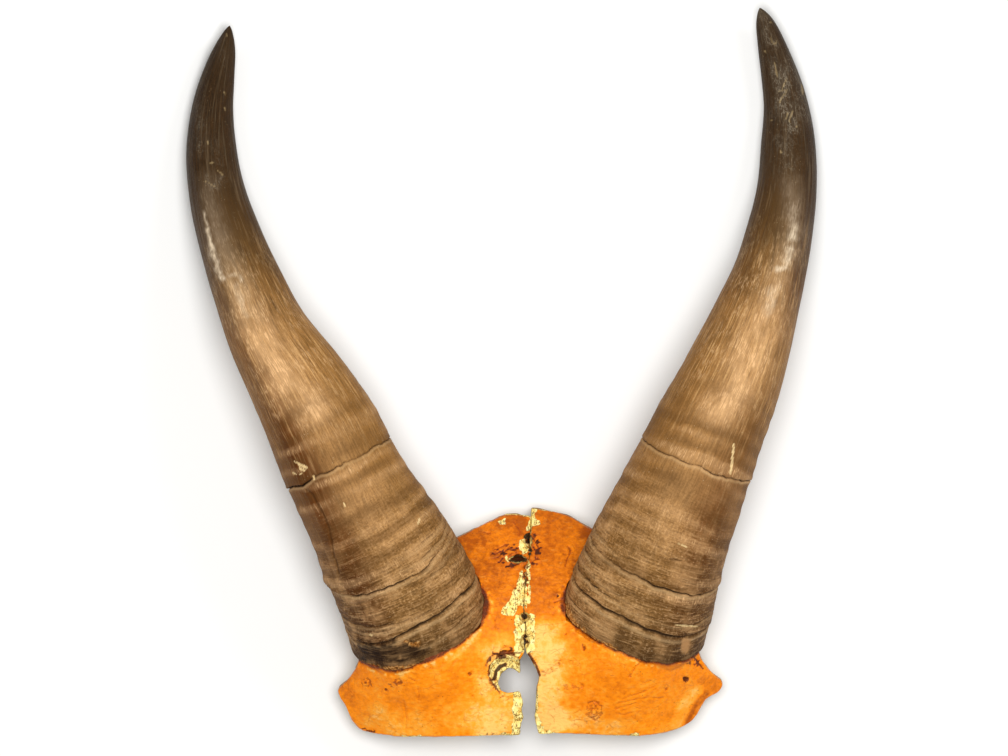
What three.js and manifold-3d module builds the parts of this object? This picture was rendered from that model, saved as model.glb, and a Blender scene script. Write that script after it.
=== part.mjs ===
// A pair of antelope horns on the two halves of a split skull plate, lying on its sawn back.
// Millimetres, +Z up. X runs across the forehead and Y from its sawn lower edge to the horn tips.
// The outward faces of the forehead and of the horns look up, along +Z.
import * as THREE from "three";
import { mergeVertices } from "three/addons/utils/BufferGeometryUtils.js";
import Module from "manifold-3d";

const wasm = await Module();
wasm.setup();

// ---------- driving dimensions ----------

const SEAT_GAP = 0.3; // between a horn's base and the bone it sits on
const PARTING_GAP = 0.6; // between the two halves of the skull plate
const HORN_SIDES = 24; // faces around a horn
const RIBBED_LENGTH = 120; // how far up the horn the growth ribs reach
const RIB_PITCH = 10; // from one soft growth rib to the next
const RIB_HEIGHT = 0.4;
const SMOOTH_STEP = 9; // ring spacing on the smooth upper horn
const CRACK_HALF_WIDTH = 1.3; // of a growth crack around the sheath

// The section: an oval with a blunt keel on the outer front and flatter faces beside it.
// Each feature has an angle from the outward side towards the front, a spread and a height.
const SECTION = [
  { at: 47, spread: 15, height: 0.055 },
  { at: 5, spread: 26, height: -0.03 },
  { at: 92, spread: 26, height: -0.03 },
];

// Horn stations from the rim at the skull to the tip: the centre of the section, and half its
// width and depth. Cracks are given by their distance along the horn and their depth.
const LEFT_HORN = {
  stations: [
    { x: -48.5, y: 49, z: 30, wide: 33, deep: 27.5 },
    { x: -52, y: 59.5, z: 36.1, wide: 32, deep: 27 },
    { x: -57.4, y: 72, z: 42, wide: 31.2, deep: 26.4 },
    { x: -63.6, y: 84.2, z: 46, wide: 29.9, deep: 25.8 },
    { x: -70, y: 95.8, z: 48.9, wide: 28.4, deep: 24.8 },
    { x: -76.9, y: 108.5, z: 51, wide: 26.9, deep: 23.7 },
    { x: -83.8, y: 122.2, z: 51.8, wide: 25.8, deep: 22.6 },
    { x: -91.8, y: 138.8, z: 51.5, wide: 24.8, deep: 21.9 },
    { x: -103.5, y: 159.7, z: 48.8, wide: 22.3, deep: 19.9 },
    { x: -116.4, y: 181, z: 43, wide: 19, deep: 17.3 },
    { x: -126.1, y: 203, z: 34.7, wide: 16.4, deep: 15.1 },
    { x: -134.5, y: 225, z: 25.2, wide: 14.5, deep: 13.5 },
    { x: -140.4, y: 246, z: 16.8, wide: 12.7, deep: 11.9 },
    { x: -142.9, y: 266, z: 11.4, wide: 11.3, deep: 10.5 },
    { x: -142.2, y: 284, z: 9.2, wide: 9.3, deep: 8.7 },
    { x: -139.2, y: 300, z: 9.5, wide: 6.9, deep: 6.5 },
    { x: -136.5, y: 311, z: 11.5, wide: 4.6, deep: 4.4 },
    { x: -134.4, y: 321, z: 13.7, wide: 1, deep: 1 },
  ],
  cracks: [
    { at: 10, depth: 1.5 },
    { at: 33.5, depth: 1.3 },
    { at: 86.5, depth: 1.2 },
  ],
};
const RIGHT_HORN = {
  stations: [
    { x: 47.8, y: 50.3, z: 31, wide: 34.2, deep: 27.8 },
    { x: 51, y: 60.8, z: 36.9, wide: 33.2, deep: 27.4 },
    { x: 55, y: 73.5, z: 42.4, wide: 31.9, deep: 26.8 },
    { x: 59.5, y: 86.5, z: 46.4, wide: 30.5, deep: 26 },
    { x: 64.8, y: 99.5, z: 49.2, wide: 29, deep: 25 },
    { x: 70.6, y: 112.5, z: 51.2, wide: 27.7, deep: 24 },
    { x: 76.6, y: 126.5, z: 51.9, wide: 26.2, deep: 23.1 },
    { x: 83, y: 141, z: 51.4, wide: 25, deep: 22.2 },
    { x: 92, y: 161.5, z: 48.6, wide: 23, deep: 20.5 },
    { x: 100.2, y: 182, z: 43, wide: 20, deep: 18.2 },
    { x: 107.4, y: 203, z: 35, wide: 17.1, deep: 15.8 },
    { x: 113.2, y: 225, z: 25.7, wide: 15.2, deep: 14.2 },
    { x: 117.1, y: 246, z: 17.6, wide: 13.6, deep: 12.8 },
    { x: 118.2, y: 267, z: 12.2, wide: 12.2, deep: 11.3 },
    { x: 117, y: 285, z: 10, wide: 10.3, deep: 9.6 },
    { x: 113.7, y: 301, z: 10.2, wide: 8.3, deep: 7.7 },
    { x: 110, y: 314, z: 12, wide: 6.1, deep: 5.7 },
    { x: 106.9, y: 323.5, z: 14, wide: 3.6, deep: 3.4 },
    { x: 105, y: 329, z: 15.3, wide: 1, deep: 1 },
  ],
  cracks: [
    { at: 12.8, depth: 1.5 },
    { at: 31.6, depth: 1.3 },
    { at: 82, depth: 1.2 },
  ],
};

// The forehead: its crown stands FOREHEAD_HEIGHT over the sawn plane, CROWN_Y up from the lower edge.
const FOREHEAD_HEIGHT = 42;
const CROWN_Y = 40;
const LOWER_EDGE_DROP = 8;
const UPPER_EDGE_Y = 102;
const UPPER_EDGE_DROP = 26;
const BROW_REACH = 86; // from the midline to the tip of the bone behind the eye
const BROW_DROP = 23;
const BROW_ROUNDING = 2.5; // the power by which the brow falls away
const BOSS = { x: 51, y: 40, spread: 27, height: 17 }; // the swelling that carries each horn
const PEDICLE_LENGTH = 12; // the stub of bone that the rim of a horn sits on
const PEDICLE_TAPER = 0.02; // how much narrower it gets with each millimetre into the plate
const GRID_STEP = 4.6;

// Hollows behind the plate: the sinus and braincase on the midline, and the two eye sockets.
const MIDLINE_HOLLOW = { x: 0, y: 30, rx: 25, ry: 56, rz: 34 };
const EYE_SOCKET = { x: 57, y: -4, rx: 15, ry: 26, rz: 20 };

// The jagged line on which the two halves meet, from the head of the slot to the top.
const PARTING = [
  [-0.8, 38.4],
  [-1.2, 42],
  [-0.7, 48],
  [-1.1, 54],
  [-1.7, 59],
  [-1.4, 63],
  [-0.7, 71],
  [-0.1, 77],
  [0.9, 81],
  [1.6, 85],
  [0.5, 88.5],
  [1.8, 92.7],
];
const LEFT_TOP = [1.5, 99];
const RIGHT_TOP = [2.1, 102.8];

// The open slot below the parting line. Its left side holds a round nerve hole.
const LEFT_SLOT = [
  [-3.2, 34.6],
  [-3.1, 28.4],
  [-5.4, 30.5],
  [-8.4, 31.2],
  [-11.8, 28.8],
  [-13.3, 24.8],
  [-12, 20.8],
  [-8.8, 19.8],
  [-3.5, 20.8],
  [-1.8, 15.3],
  [-2.7, 12.4],
  [-1.6, 9],
  [-2.9, 5.4],
  [-3.4, 0.9],
];
const RIGHT_SLOT = [
  [1.6, 35.6],
  [3.9, 31],
  [5.5, 27.2],
  [4.2, 22.3],
  [3.8, 13.6],
  [3.2, 9.2],
  [4.2, 4.6],
  [5.2, 1.2],
];

// The outer edge of each half, from the foot of the slot round to the top of the parting line.
const LEFT_EDGE = [
  [-12, 0.7],
  [-53, 0],
  [-72, 1.8],
  [-78.5, 6.4],
  [-82, 14],
  [-85.4, 20.4],
  [-81, 25.4],
  [-76.3, 32.4],
  [-75.2, 40],
  [-71, 56],
  [-58, 73],
  [-43, 84],
  [-29.7, 90.4],
  [-17, 96.6],
  [-10, 99.6],
  [-4, 99.8],
];
const RIGHT_EDGE = [
  [14, 1.6],
  [38, 0.6],
  [55, 0.8],
  [67, 3],
  [75, 7.6],
  [80.5, 16.6],
  [86.2, 19.8],
  [88.1, 24.2],
  [82.4, 29.4],
  [77.8, 36.6],
  [77, 46],
  [72.5, 58],
  [59, 75],
  [42, 87],
  [28.4, 93.6],
  [18.5, 99.4],
  [8, 101.8],
];

// Pits broken into the outer face along the parting line, and the recess round the nerve hole.
const PITS = [
  { x: -1, y: 43, rx: 2.2, ry: 3.6, rz: 6 },
  { x: -1.2, y: 54, rx: 2.6, ry: 2.2, rz: 6 },
  { x: -4.2, y: 80, rx: 4.4, ry: 1.8, rz: 6 },
  { x: 0.6, y: 88, rx: 1.8, ry: 3.8, rz: 6 },
  { x: -9, y: 29.8, rx: 8, ry: 6.2, rz: 4.5 },
];

const HORN_COLOUR = 0x8a6a45;
const BONE_COLOUR = 0xd07a22;

// ---------- solids ----------

// A closed three.js geometry as a manifold solid.
function solid(geometry) {
  const bare = geometry.clone();
  bare.deleteAttribute("normal");
  bare.deleteAttribute("uv");
  const merged = mergeVertices(bare, 1e-4);
  return new wasm.Manifold(
    new wasm.Mesh({
      numProp: 3,
      vertProperties: merged.attributes.position.array,
      triVerts: new Uint32Array(merged.index.array),
    }),
  );
}

function geometryOf(made) {
  const mesh = made.getMesh();
  const geometry = new THREE.BufferGeometry();
  geometry.setAttribute("position", new THREE.BufferAttribute(mesh.vertProperties, 3));
  geometry.setIndex(new THREE.BufferAttribute(mesh.triVerts, 1));
  return geometry;
}

function ellipsoid({ x, y, z = 0, rx, ry, rz }, widthSegments = 20, heightSegments = 12) {
  const ball = new THREE.SphereGeometry(1, widthSegments, heightSegments);
  ball.rotateX(Math.PI / 2);
  return solid(ball.scale(rx, ry, rz).translate(x, y, z));
}

// ---------- horns ----------

function bell(value, middle, spread) {
  return Math.exp(-(((value - middle) / spread) ** 2));
}

// How far the section swells or flattens at an angle in degrees from the outward side.
function sectionFactor(degrees) {
  return SECTION.reduce((sum, f) => sum + f.height * bell(degrees, f.at, f.spread), 1);
}

// One horn as a smooth line through its stations. Distances are in millimetres from its rim.
class HornLine {
  constructor({ stations, cracks }) {
    this.cracks = cracks;
    this.outward = Math.sign(stations[0].x);
    this.path = new THREE.CatmullRomCurve3(stations.map((s) => new THREE.Vector3(s.x, s.y, s.z)));
    this.girth = new THREE.CatmullRomCurve3(stations.map((s) => new THREE.Vector3(s.wide, s.deep, 0)));
    this.length = this.path.getLength();
  }

  // Centre, heading and half sizes at a distance. Before the rim the line runs straight back.
  at(distance) {
    const t = this.path.getUtoTmapping(Math.max(distance, 0) / this.length);
    const heading = this.path.getTangent(t);
    const centre = this.path.getPoint(t).addScaledVector(heading, Math.min(distance, 0));
    const taper = 1 + PEDICLE_TAPER * Math.min(distance, 0);
    return { centre, heading, size: this.girth.getPoint(t).multiplyScalar(taper) };
  }

  // Where the rings go: on each rib and hollow, three at a crack, and further apart above.
  rings() {
    const rings = [];
    for (let d = 0; d < RIBBED_LENGTH; d += RIB_PITCH / 2) rings.push(d);
    const smooth = this.length - RIBBED_LENGTH;
    const count = Math.round(smooth / SMOOTH_STEP);
    for (let k = 0; k <= count; k++) rings.push(RIBBED_LENGTH + (k * smooth) / count);
    const clear = 1.6 * CRACK_HALF_WIDTH;
    const kept = rings.filter((d) => this.cracks.every((crack) => Math.abs(crack.at - d) > clear));
    for (const { at } of this.cracks) kept.push(at - CRACK_HALF_WIDTH, at, at + CRACK_HALF_WIDTH);
    return kept.sort((a, b) => a - b);
  }

  // What the growth ribs and cracks add to the radius.
  relief(distance) {
    const fade = THREE.MathUtils.smoothstep(RIBBED_LENGTH - distance, 0, RIBBED_LENGTH / 3);
    const rib = fade * RIB_HEIGHT * Math.cos((2 * Math.PI * distance) / RIB_PITCH);
    return this.cracks.reduce((height, crack) => {
      const away = Math.abs(distance - crack.at) / CRACK_HALF_WIDTH;
      return height - crack.depth * Math.max(1 - away, 0);
    }, rib);
  }

  // A closed tube with rings at the given distances, grown by a clearance.
  tube(rings, grow = 0) {
    const along = new THREE.CylinderGeometry(1, 1, 1, HORN_SIDES, rings.length - 1);
    const position = along.attributes.position;
    const front = new THREE.Vector3();
    const across = new THREE.Vector3();
    for (let i = 0; i < position.count; i++) {
      const distance = rings[Math.round((position.getY(i) + 0.5) * (rings.length - 1))];
      const { centre, heading, size } = this.at(distance);
      front.set(0, 0, 1).addScaledVector(heading, -heading.z).normalize();
      across.crossVectors(heading, front);
      const cos = position.getX(i);
      const sin = position.getZ(i);
      const swell = sectionFactor(THREE.MathUtils.radToDeg(Math.atan2(sin, this.outward * cos)));
      const added = grow + (distance > 0 ? this.relief(distance) : 0);
      const point = centre
        .addScaledVector(across, cos * (size.x * swell + added))
        .addScaledVector(front, sin * (size.y * swell + added));
      position.setXYZ(i, point.x, point.y, point.z);
    }
    return along;
  }

  sheath() {
    return this.tube(this.rings());
  }

  // The room the sheath takes in the bone, with its seating gap all round.
  seat() {
    return this.tube([-SEAT_GAP, ...this.rings()], SEAT_GAP);
  }

  pedicle() {
    return this.tube([-PEDICLE_LENGTH, -PEDICLE_LENGTH / 2, -SEAT_GAP]);
  }
}

// Lowers or lifts a horn until its underside just meets the surface it rests on.
function restingHorn({ stations, cracks }) {
  const draft = new HornLine({ stations, cracks }).sheath();
  draft.computeBoundingBox();
  const lift = -draft.boundingBox.min.z;
  return new HornLine({ stations: stations.map((s) => ({ ...s, z: s.z + lift })), cracks });
}

// ---------- skull plate ----------

// Height of the forehead's outer face over the sawn plane.
function foreheadHeight(x, y) {
  const below = Math.max(CROWN_Y - y, 0) / CROWN_Y;
  const above = Math.max(y - CROWN_Y, 0) / (UPPER_EDGE_Y - CROWN_Y);
  const sideways = Math.abs(x) / BROW_REACH;
  const distance = Math.hypot(Math.abs(x) - BOSS.x, y - BOSS.y);
  return (
    FOREHEAD_HEIGHT -
    LOWER_EDGE_DROP * below ** 2 -
    UPPER_EDGE_DROP * above ** 2 -
    BROW_DROP * sideways ** BROW_ROUNDING +
    BOSS.height * bell(distance, 0, BOSS.spread)
  );
}

// The forehead as a block whose upper face follows the bone and whose lower face is sawn flat.
function foreheadBlock() {
  const margin = 2 * GRID_STEP;
  const width = 2 * (BROW_REACH + margin);
  const length = UPPER_EDGE_Y + 2 * margin;
  const block = new THREE.BoxGeometry(
    width,
    length,
    1,
    Math.round(width / GRID_STEP),
    Math.round(length / GRID_STEP),
  );
  block.translate(0, UPPER_EDGE_Y / 2, 0);
  const position = block.attributes.position;
  for (let i = 0; i < position.count; i++) {
    const height = foreheadHeight(position.getX(i), position.getY(i));
    position.setZ(i, position.getZ(i) > 0 ? Math.max(height, 2) : 0);
  }
  return solid(block);
}

// One half seen from the front: the slot, the parting line and the rounded outer edge.
function halfOutline(edge, slot, top, side) {
  const shift = (side * PARTING_GAP) / 2;
  const outline = new THREE.Shape();
  outline.moveTo(...slot.at(-1));
  outline.splineThru(edge.map((p) => new THREE.Vector2(...p)));
  outline.lineTo(...top);
  PARTING.toReversed().forEach(([x, y]) => outline.lineTo(x + shift, y));
  slot.slice(0, -1).forEach((p) => outline.lineTo(...p));
  return outline;
}

function plateHalf(outline, horn) {
  const options = { depth: 2 * FOREHEAD_HEIGHT, bevelEnabled: false, curveSegments: 3 };
  const prism = solid(new THREE.ExtrudeGeometry(outline, options));
  let half = foreheadBlock().add(solid(horn.pedicle())).intersect(prism);
  half = half.subtract(solid(horn.seat()));
  half = half.subtract(ellipsoid(MIDLINE_HOLLOW, 24, 16));
  half = half.subtract(ellipsoid({ ...EYE_SOCKET, x: horn.outward * EYE_SOCKET.x }));
  for (const pit of PITS) {
    half = half.subtract(ellipsoid({ ...pit, z: foreheadHeight(pit.x, pit.y) }, 12, 8));
  }
  return half;
}

// ---------- assembly ----------

function mesh(name, geometry, colour, roughness) {
  const material = new THREE.MeshStandardMaterial({ color: colour, roughness, metalness: 0 });
  const made = new THREE.Mesh(geometry, material);
  made.name = name;
  return made;
}

const leftHorn = restingHorn(LEFT_HORN);
const rightHorn = restingHorn(RIGHT_HORN);
const leftHalf = plateHalf(halfOutline(LEFT_EDGE, LEFT_SLOT, LEFT_TOP, -1), leftHorn);
const rightHalf = plateHalf(halfOutline(RIGHT_EDGE, RIGHT_SLOT, RIGHT_TOP, 1), rightHorn);

const horns = new THREE.Group();
horns.add(mesh("horn_left", leftHorn.sheath(), HORN_COLOUR, 0.45));
horns.add(mesh("horn_right", rightHorn.sheath(), HORN_COLOUR, 0.45));
horns.add(mesh("skull_plate_left", geometryOf(leftHalf), BONE_COLOUR, 0.6));
horns.add(mesh("skull_plate_right", geometryOf(rightHalf), BONE_COLOUR, 0.6));

// The origin is the middle of the underside of the whole.
const extent = new THREE.Box3().setFromObject(horns, true);
const middle = extent.getCenter(new THREE.Vector3());
horns.position.set(-middle.x, -middle.y, -extent.min.z);

export default horns;
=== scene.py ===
"""A pair of antelope horns on the two painted halves of a split skull plate.

Lengths are worked out in millimetres from the foot of the break between the two halves: X across
the forehead, Y from its sawn lower edge to the horn tips, Z out of it. They become metres in the
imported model's frame as each mesh is finished.
"""
import math
from collections import namedtuple
from functools import partial, reduce
from itertools import product

import bpy
import numpy as np
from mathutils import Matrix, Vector
from mathutils.kdtree import KDTree


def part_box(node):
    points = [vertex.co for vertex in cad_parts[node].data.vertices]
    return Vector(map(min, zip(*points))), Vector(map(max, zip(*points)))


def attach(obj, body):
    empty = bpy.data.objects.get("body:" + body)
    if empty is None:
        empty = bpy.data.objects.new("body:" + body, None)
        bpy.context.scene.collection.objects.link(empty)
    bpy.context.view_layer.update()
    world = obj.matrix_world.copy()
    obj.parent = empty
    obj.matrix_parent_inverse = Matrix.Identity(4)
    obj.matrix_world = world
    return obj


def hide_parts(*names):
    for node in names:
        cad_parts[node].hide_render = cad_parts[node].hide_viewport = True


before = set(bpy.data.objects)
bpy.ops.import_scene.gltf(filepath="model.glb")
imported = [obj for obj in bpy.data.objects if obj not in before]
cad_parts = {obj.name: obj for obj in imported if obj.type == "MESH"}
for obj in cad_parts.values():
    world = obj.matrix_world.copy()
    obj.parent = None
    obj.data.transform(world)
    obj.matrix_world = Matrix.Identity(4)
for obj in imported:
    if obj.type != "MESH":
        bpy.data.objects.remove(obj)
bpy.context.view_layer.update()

MM = 0.001

# The frame's origin is the middle of the model's underside. Two corners of the bone find it.
LEFT_HALF_REACH = 1.5
RIGHT_HALF_TOP = 102.8
FRAME_SHIFT = np.array([
    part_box("skull_plate_left")[1].x / MM - LEFT_HALF_REACH,
    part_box("skull_plate_right")[1].y / MM - RIGHT_HALF_TOP,
    0.0,
])

# ---------- the horns' form ----------

HORN_SIDES = 28
SUBDIVISIONS = 3
RIM_STEP = 0.8
RIBBED_STEP = 5.4
CRACK_STEP = 2.5
CRACK_REACH = 4.5
MAIN_CRACK_DEPTH = 0.9  # cracks at least this deep get the closer rings
RIBBED_LENGTH = 120
SMOOTH_STEP = 8.6
GRAIN_RADIUS = 20  # the grain is drawn as if the horn were a rod of this radius
GRAIN_SHIFT = 100  # the grain's noise is read this far from its origin, in x, y and z
WEAR_SHIFT = 200  # and so is the noise of the wear

# Stations from the rim to the tip: x, y, z of the section's centre, half width, half depth.
LEFT_STATIONS = [
    (-48.5, 49, 30, 33, 27.5),
    (-52, 59.5, 36.1, 32, 27),
    (-57.4, 72, 42, 31.2, 26.4),
    (-63.6, 84.2, 46, 29.9, 25.8),
    (-70, 95.8, 48.9, 28.4, 24.8),
    (-76.9, 108.5, 51, 26.9, 23.7),
    (-83.8, 122.2, 51.8, 25.8, 22.6),
    (-91.8, 138.8, 51.5, 24.8, 21.9),
    (-103.5, 159.7, 48.8, 22.3, 19.9),
    (-116.4, 181, 43, 19, 17.3),
    (-126.1, 203, 34.7, 16.4, 15.1),
    (-134.5, 225, 25.2, 14.5, 13.5),
    (-140.4, 246, 16.8, 12.7, 11.9),
    (-142.9, 266, 11.4, 11.3, 10.5),
    (-142.2, 284, 9.2, 9.3, 8.7),
    (-139.2, 300, 9.5, 6.9, 6.5),
    (-136.5, 311, 11.5, 4.6, 4.4),
    (-134.4, 321, 13.7, 1, 1),
]
RIGHT_STATIONS = [
    (47.8, 50.3, 31, 34.2, 27.8),
    (51, 60.8, 36.9, 33.2, 27.4),
    (55, 73.5, 42.4, 31.9, 26.8),
    (59.5, 86.5, 46.4, 30.5, 26),
    (64.8, 99.5, 49.2, 29, 25),
    (70.6, 112.5, 51.2, 27.7, 24),
    (76.6, 126.5, 51.9, 26.2, 23.1),
    (83, 141, 51.4, 25, 22.2),
    (92, 161.5, 48.6, 23, 20.5),
    (100.2, 182, 43, 20, 18.2),
    (107.4, 203, 35, 17.1, 15.8),
    (113.2, 225, 25.7, 15.2, 14.2),
    (117.1, 246, 17.6, 13.6, 12.8),
    (118.2, 267, 12.2, 12.2, 11.3),
    (117, 285, 10, 10.3, 9.6),
    (113.7, 301, 10.2, 8.3, 7.7),
    (110, 314, 12, 6.1, 5.7),
    (106.9, 323.5, 14, 3.6, 3.4),
    (105, 329, 15.3, 1, 1),
]

# Where the blunt keel runs, in degrees from the outward side to the front, by distance.
KEEL_COURSE = [(0, 62), (50, 50), (90, 52), (160, 58), (320, 60)]
KEEL = {"spread": 14, "height": 0.045}
FLATS = [{"at": 16, "spread": 20, "height": -0.025}, {"at": 104, "spread": 26, "height": -0.025}]

# Growth cracks round each sheath. at is a crack's distance from the rim, which shifts with the
# angle: toward the tip by lean_out on the outward side and by lean_front on the front. Width and
# depth are those of the groove. lip is how far the older sheath above it stands proud, and
# outer_lip adds to that on the outward side. strength is given by angle, in degrees from the
# outward side to the front.
Crack = namedtuple("Crack", "at lean_out lean_front width depth lip outer_lip strength")
LEFT_CRACKS = [
    Crack(12.9, -3.1, 1.5, 1.15, 1.6, 0.6, 0.3, [(-180, 1), (180, 1)]),
    Crack(40.6, 0.4, -7.9, 0.65, 1.2, 0.45, 1.4,
          [(-180, 0.5), (0, 1.1), (60, 1), (120, 0.8), (150, 0.35), (180, 0.3)]),
    Crack(86.4, -0.2, -0.4, 0.55, 1, 0.5, 0.3,
          [(-180, 0.7), (0, 1.3), (45, 1.5), (60, 0.75), (110, 0.6), (180, 0.9)]),
    Crack(19.5, 3.5, -1, 0.9, 0.5, 0.3, 0, [(-30, 0), (0, 0.8), (70, 0.7), (100, 0.25), (180, 0)]),
    Crack(16, 2.5, 0.5, 0.6, 0.4, 0.2, 0, [(-30, 0), (10, 0.6), (60, 0.8), (84, 0), (180, 0)]),
    Crack(44, 2, -6, 0.6, 0.4, 0.2, 0, [(80, 0), (115, 0.5), (150, 0.6), (180, 0.5)]),
    Crack(48, 2.5, -5, 0.6, 0.4, 0.2, 0, [(90, 0), (125, 0.5), (160, 0.5), (180, 0.5)]),
    Crack(34, -2, -5, 0.6, 0.3, 0.2, 0, [(80, 0), (110, 0.3), (140, 0.5), (180, 0.5)]),
    Crack(7, -2, 0.5, 0.7, 0.4, 0.2, 0, [(60, 0), (100, 0.5), (140, 0.6), (180, 0.4)]),
]
RIGHT_CRACKS = [
    Crack(14.9, -2.2, -0.8, 1.25, 1.6, 0.55, 0.3, [(-180, 1), (180, 1)]),
    Crack(35.2, -1.7, -4, 0.6, 1.2, 0.5, 0.3, [(-180, 0.6), (0, 1.3), (60, 1), (150, 0.6), (180, 0.5)]),
    Crack(83.7, 0.9, -2.7, 0.5, 1, 0.5, 0.2, [(-180, 0.7), (0, 1.2), (60, 0.75), (180, 0.8)]),
    Crack(20, -3, -1, 0.7, 0.4, 0.2, 0, [(60, 0), (100, 0.5), (150, 0.7), (180, 0.7)]),
    Crack(23.5, -3.5, -1.5, 0.6, 0.4, 0.2, 0, [(70, 0), (110, 0.4), (150, 0.6), (180, 0.6)]),
    Crack(28, -3, -2, 0.6, 0.3, 0.2, 0, [(90, 0), (120, 0.3), (150, 0.6), (180, 0.6)]),
    Crack(39, -2, -3, 0.6, 0.3, 0.2, 0, [(100, 0), (130, 0.4), (160, 0.6), (180, 0.6)]),
    Crack(18.6, 0, -1, 0.7, 0.5, 0.2, 0, [(-60, 0), (0, 0.8), (50, 0.7), (80, 0), (180, 0)]),
    Crack(8.5, -1, 0, 0.6, 0.4, 0.2, 0, [(90, 0), (120, 0.5), (150, 0.6), (180, 0.5)]),
]
RIPPLE_PITCH = 8.2

# How far each rim reaches past the first station, by angle.
LEFT_RIM_DROP = [(-180, -1), (-90, 1), (0, 3), (60, 4.2), (100, 3.4), (140, 0.5), (180, -1)]
RIGHT_RIM_DROP = [(-180, 0), (0, 2), (60, 2.5), (110, 1.5), (150, 0), (180, 0)]
# The darker sides of the horns are painted shade.
SIDE_REACH = 20  # how many degrees further the dark outer side comes forward on the ribbed part

# How strongly painted shade darkens each horn's outer and inner sides, by distance.
LEFT_SIDE_SHADE = {
    "outer": [(0, 1.1), (25, 1.35), (100, 1.3), (130, 1)],
    "inner": [(20, 0), (60, 0.08)],
}
RIGHT_SIDE_SHADE = {
    "outer": [
        (0, 0.8), (20, 1.1), (60, 1.1), (90, 0.7), (110, 0.6), (135, 0.25),
        (158, 0.9), (185, 1.8), (215, 1.3), (260, 0.6),
    ],
    "inner": [(20, 0), (60, 0.3), (140, 0.3), (160, 0.45), (185, 0.45), (210, 0.3)],
}

# Marks on the front of the horns: runs of points in x and y, each with a half width. Chips and
# scratches are pale and cut in. Glints are painted highlights in cream and have a strength too. The
# polished ridge is a broad band of gloss and painted highlight, with its half width given by y.
LEFT_CHIPS = [
    ([(-104.2, 124.2), (-101.6, 123)], 0.4), ([(-101.8, 122.8), (-98.8, 121.5)], 0.9),
    ([(-101.6, 121), (-99.8, 120)], 0.8), ([(-104.8, 119), (-103.4, 118.5)], 0.3),
    ([(-101.8, 118.5), (-101, 118.9)], 0.3),
    ([(-95.6, 117.6), (-95.2, 116.4)], 0.5), ([(-135.8, 316.8), (-135.6, 316.2)], 0.5),
    ([(-136.6, 290.5), (-136.3, 290)], 0.6), ([(-136.8, 284), (-136.2, 282.6)], 0.3),
    ([(-143, 258.6), (-141.4, 258.5)], 0.3), ([(-139.4, 254.9), (-137.4, 253.4)], 0.4),
    ([(-145.8, 250.6), (-143.6, 249.4), (-140.6, 247.8)], 0.3), ([(-144.3, 268.6), (-143.8, 266.8)], 0.35),
    ([(-82, 105.4), (-81.4, 104)], 0.4), ([(-70.6, 46.4), (-69.8, 46)], 0.5),
    ([(-48.2, 98.5), (-48.8, 96.5)], 0.4),
]
RIGHT_CHIPS = [
    ([(92.2, 131.6), (91.6, 126), (90.8, 118.6)], 0.6),
    ([(111.6, 304.4), (113, 297.4)], 0.3), ([(117.2, 296.6), (115.2, 292.4)], 0.3),
    ([(113.6, 291.2), (117.6, 292)], 0.25), ([(113.8, 285.8), (115.4, 288.8), (117, 290.4)], 0.35),
    ([(118.2, 277.2), (119.8, 281.8)], 0.35), ([(116.8, 278.4), (117.6, 281.2)], 0.3),
    ([(124.2, 294.2), (124.6, 290.4)], 0.6), ([(114.4, 263.8), (114.7, 263.4)], 0.5),
    ([(109.6, 322.4), (110.8, 322)], 0.45), ([(110, 315), (110.6, 313), (112, 312), (112.6, 313.6)], 0.35),
    ([(110, 277.8), (111.6, 277.6)], 0.3), ([(121.4, 275.2), (121.8, 274.8)], 0.5),
    ([(107.4, 309), (107.8, 308.7)], 0.45), ([(66.8, 88), (71.2, 86)], 0.35),
    ([(66.5, 50.9), (76.5, 50)], 0.3),
]
# Creases are cut in, and darkened along them as painted shade.
LEFT_CREASES = [
    ([(-98.5, 111.6), (-96.2, 109.6), (-94.4, 106.4), (-90.6, 99.6), (-88.6, 94)], 0.5),
    ([(-88.6, 94), (-87.4, 88), (-86.6, 81)], 0.25), ([(-85.6, 80), (-84.4, 74)], 0.3),
]
RIGHT_CREASES = [([(91.6, 68), (90.2, 60), (88.6, 54)], 0.5), ([(63.5, 80.8), (68.7, 79.8)], 0.45)]
LEFT_PAINTED_GLINTS = [
    ([(-145.2, 236), (-144.2, 230)], 0.4, 0.7), ([(-143.8, 228), (-141.6, 219)], 0.8, 0.9),
    ([(-141.2, 217), (-139.2, 211)], 1.1, 1.0), ([(-139, 210), (-138, 206.6), (-136.4, 206.4)], 0.9, 0.8),
    ([(-134, 207.6), (-130, 208), (-128.4, 205)], 0.7, 0.55),
    ([(-131, 203), (-128.6, 196), (-126, 190)], 1.6, 0.35),
]
RIGHT_PAINTED_GLINTS = [
    ([(119.4, 229), (119, 225)], 1.7, 0.75), ([(117.8, 219), (117, 214)], 1.9, 0.8),
    ([(116.4, 211.4), (113, 210.4)], 1.1, 0.8), ([(119.4, 237), (119.8, 231)], 2.2, 0.3),
    ([(113, 203), (109.6, 199), (107.6, 191)], 2.4, 0.4),
]
LEFT_POLISH_AND_HIGHLIGHT = [
    (-144, 250), (-143.6, 241.6), (-141.6, 230.4), (-137.4, 219), (-130.8, 204), (-124, 188), (-114.6, 171.6),
    (-105.8, 155.4), (-96.8, 147),
]
RIGHT_POLISH_AND_HIGHLIGHT = [
    (119, 250), (120.4, 241.6), (120.4, 228), (117.6, 216), (113, 203), (107.6, 188), (100, 171.6),
    (93.2, 155.4), (86.4, 147),
]
POLISH_AND_HIGHLIGHT_HALF_WIDTH = [(135, 6), (150, 8), (180, 8), (205, 6), (250, 4.5)]

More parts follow.
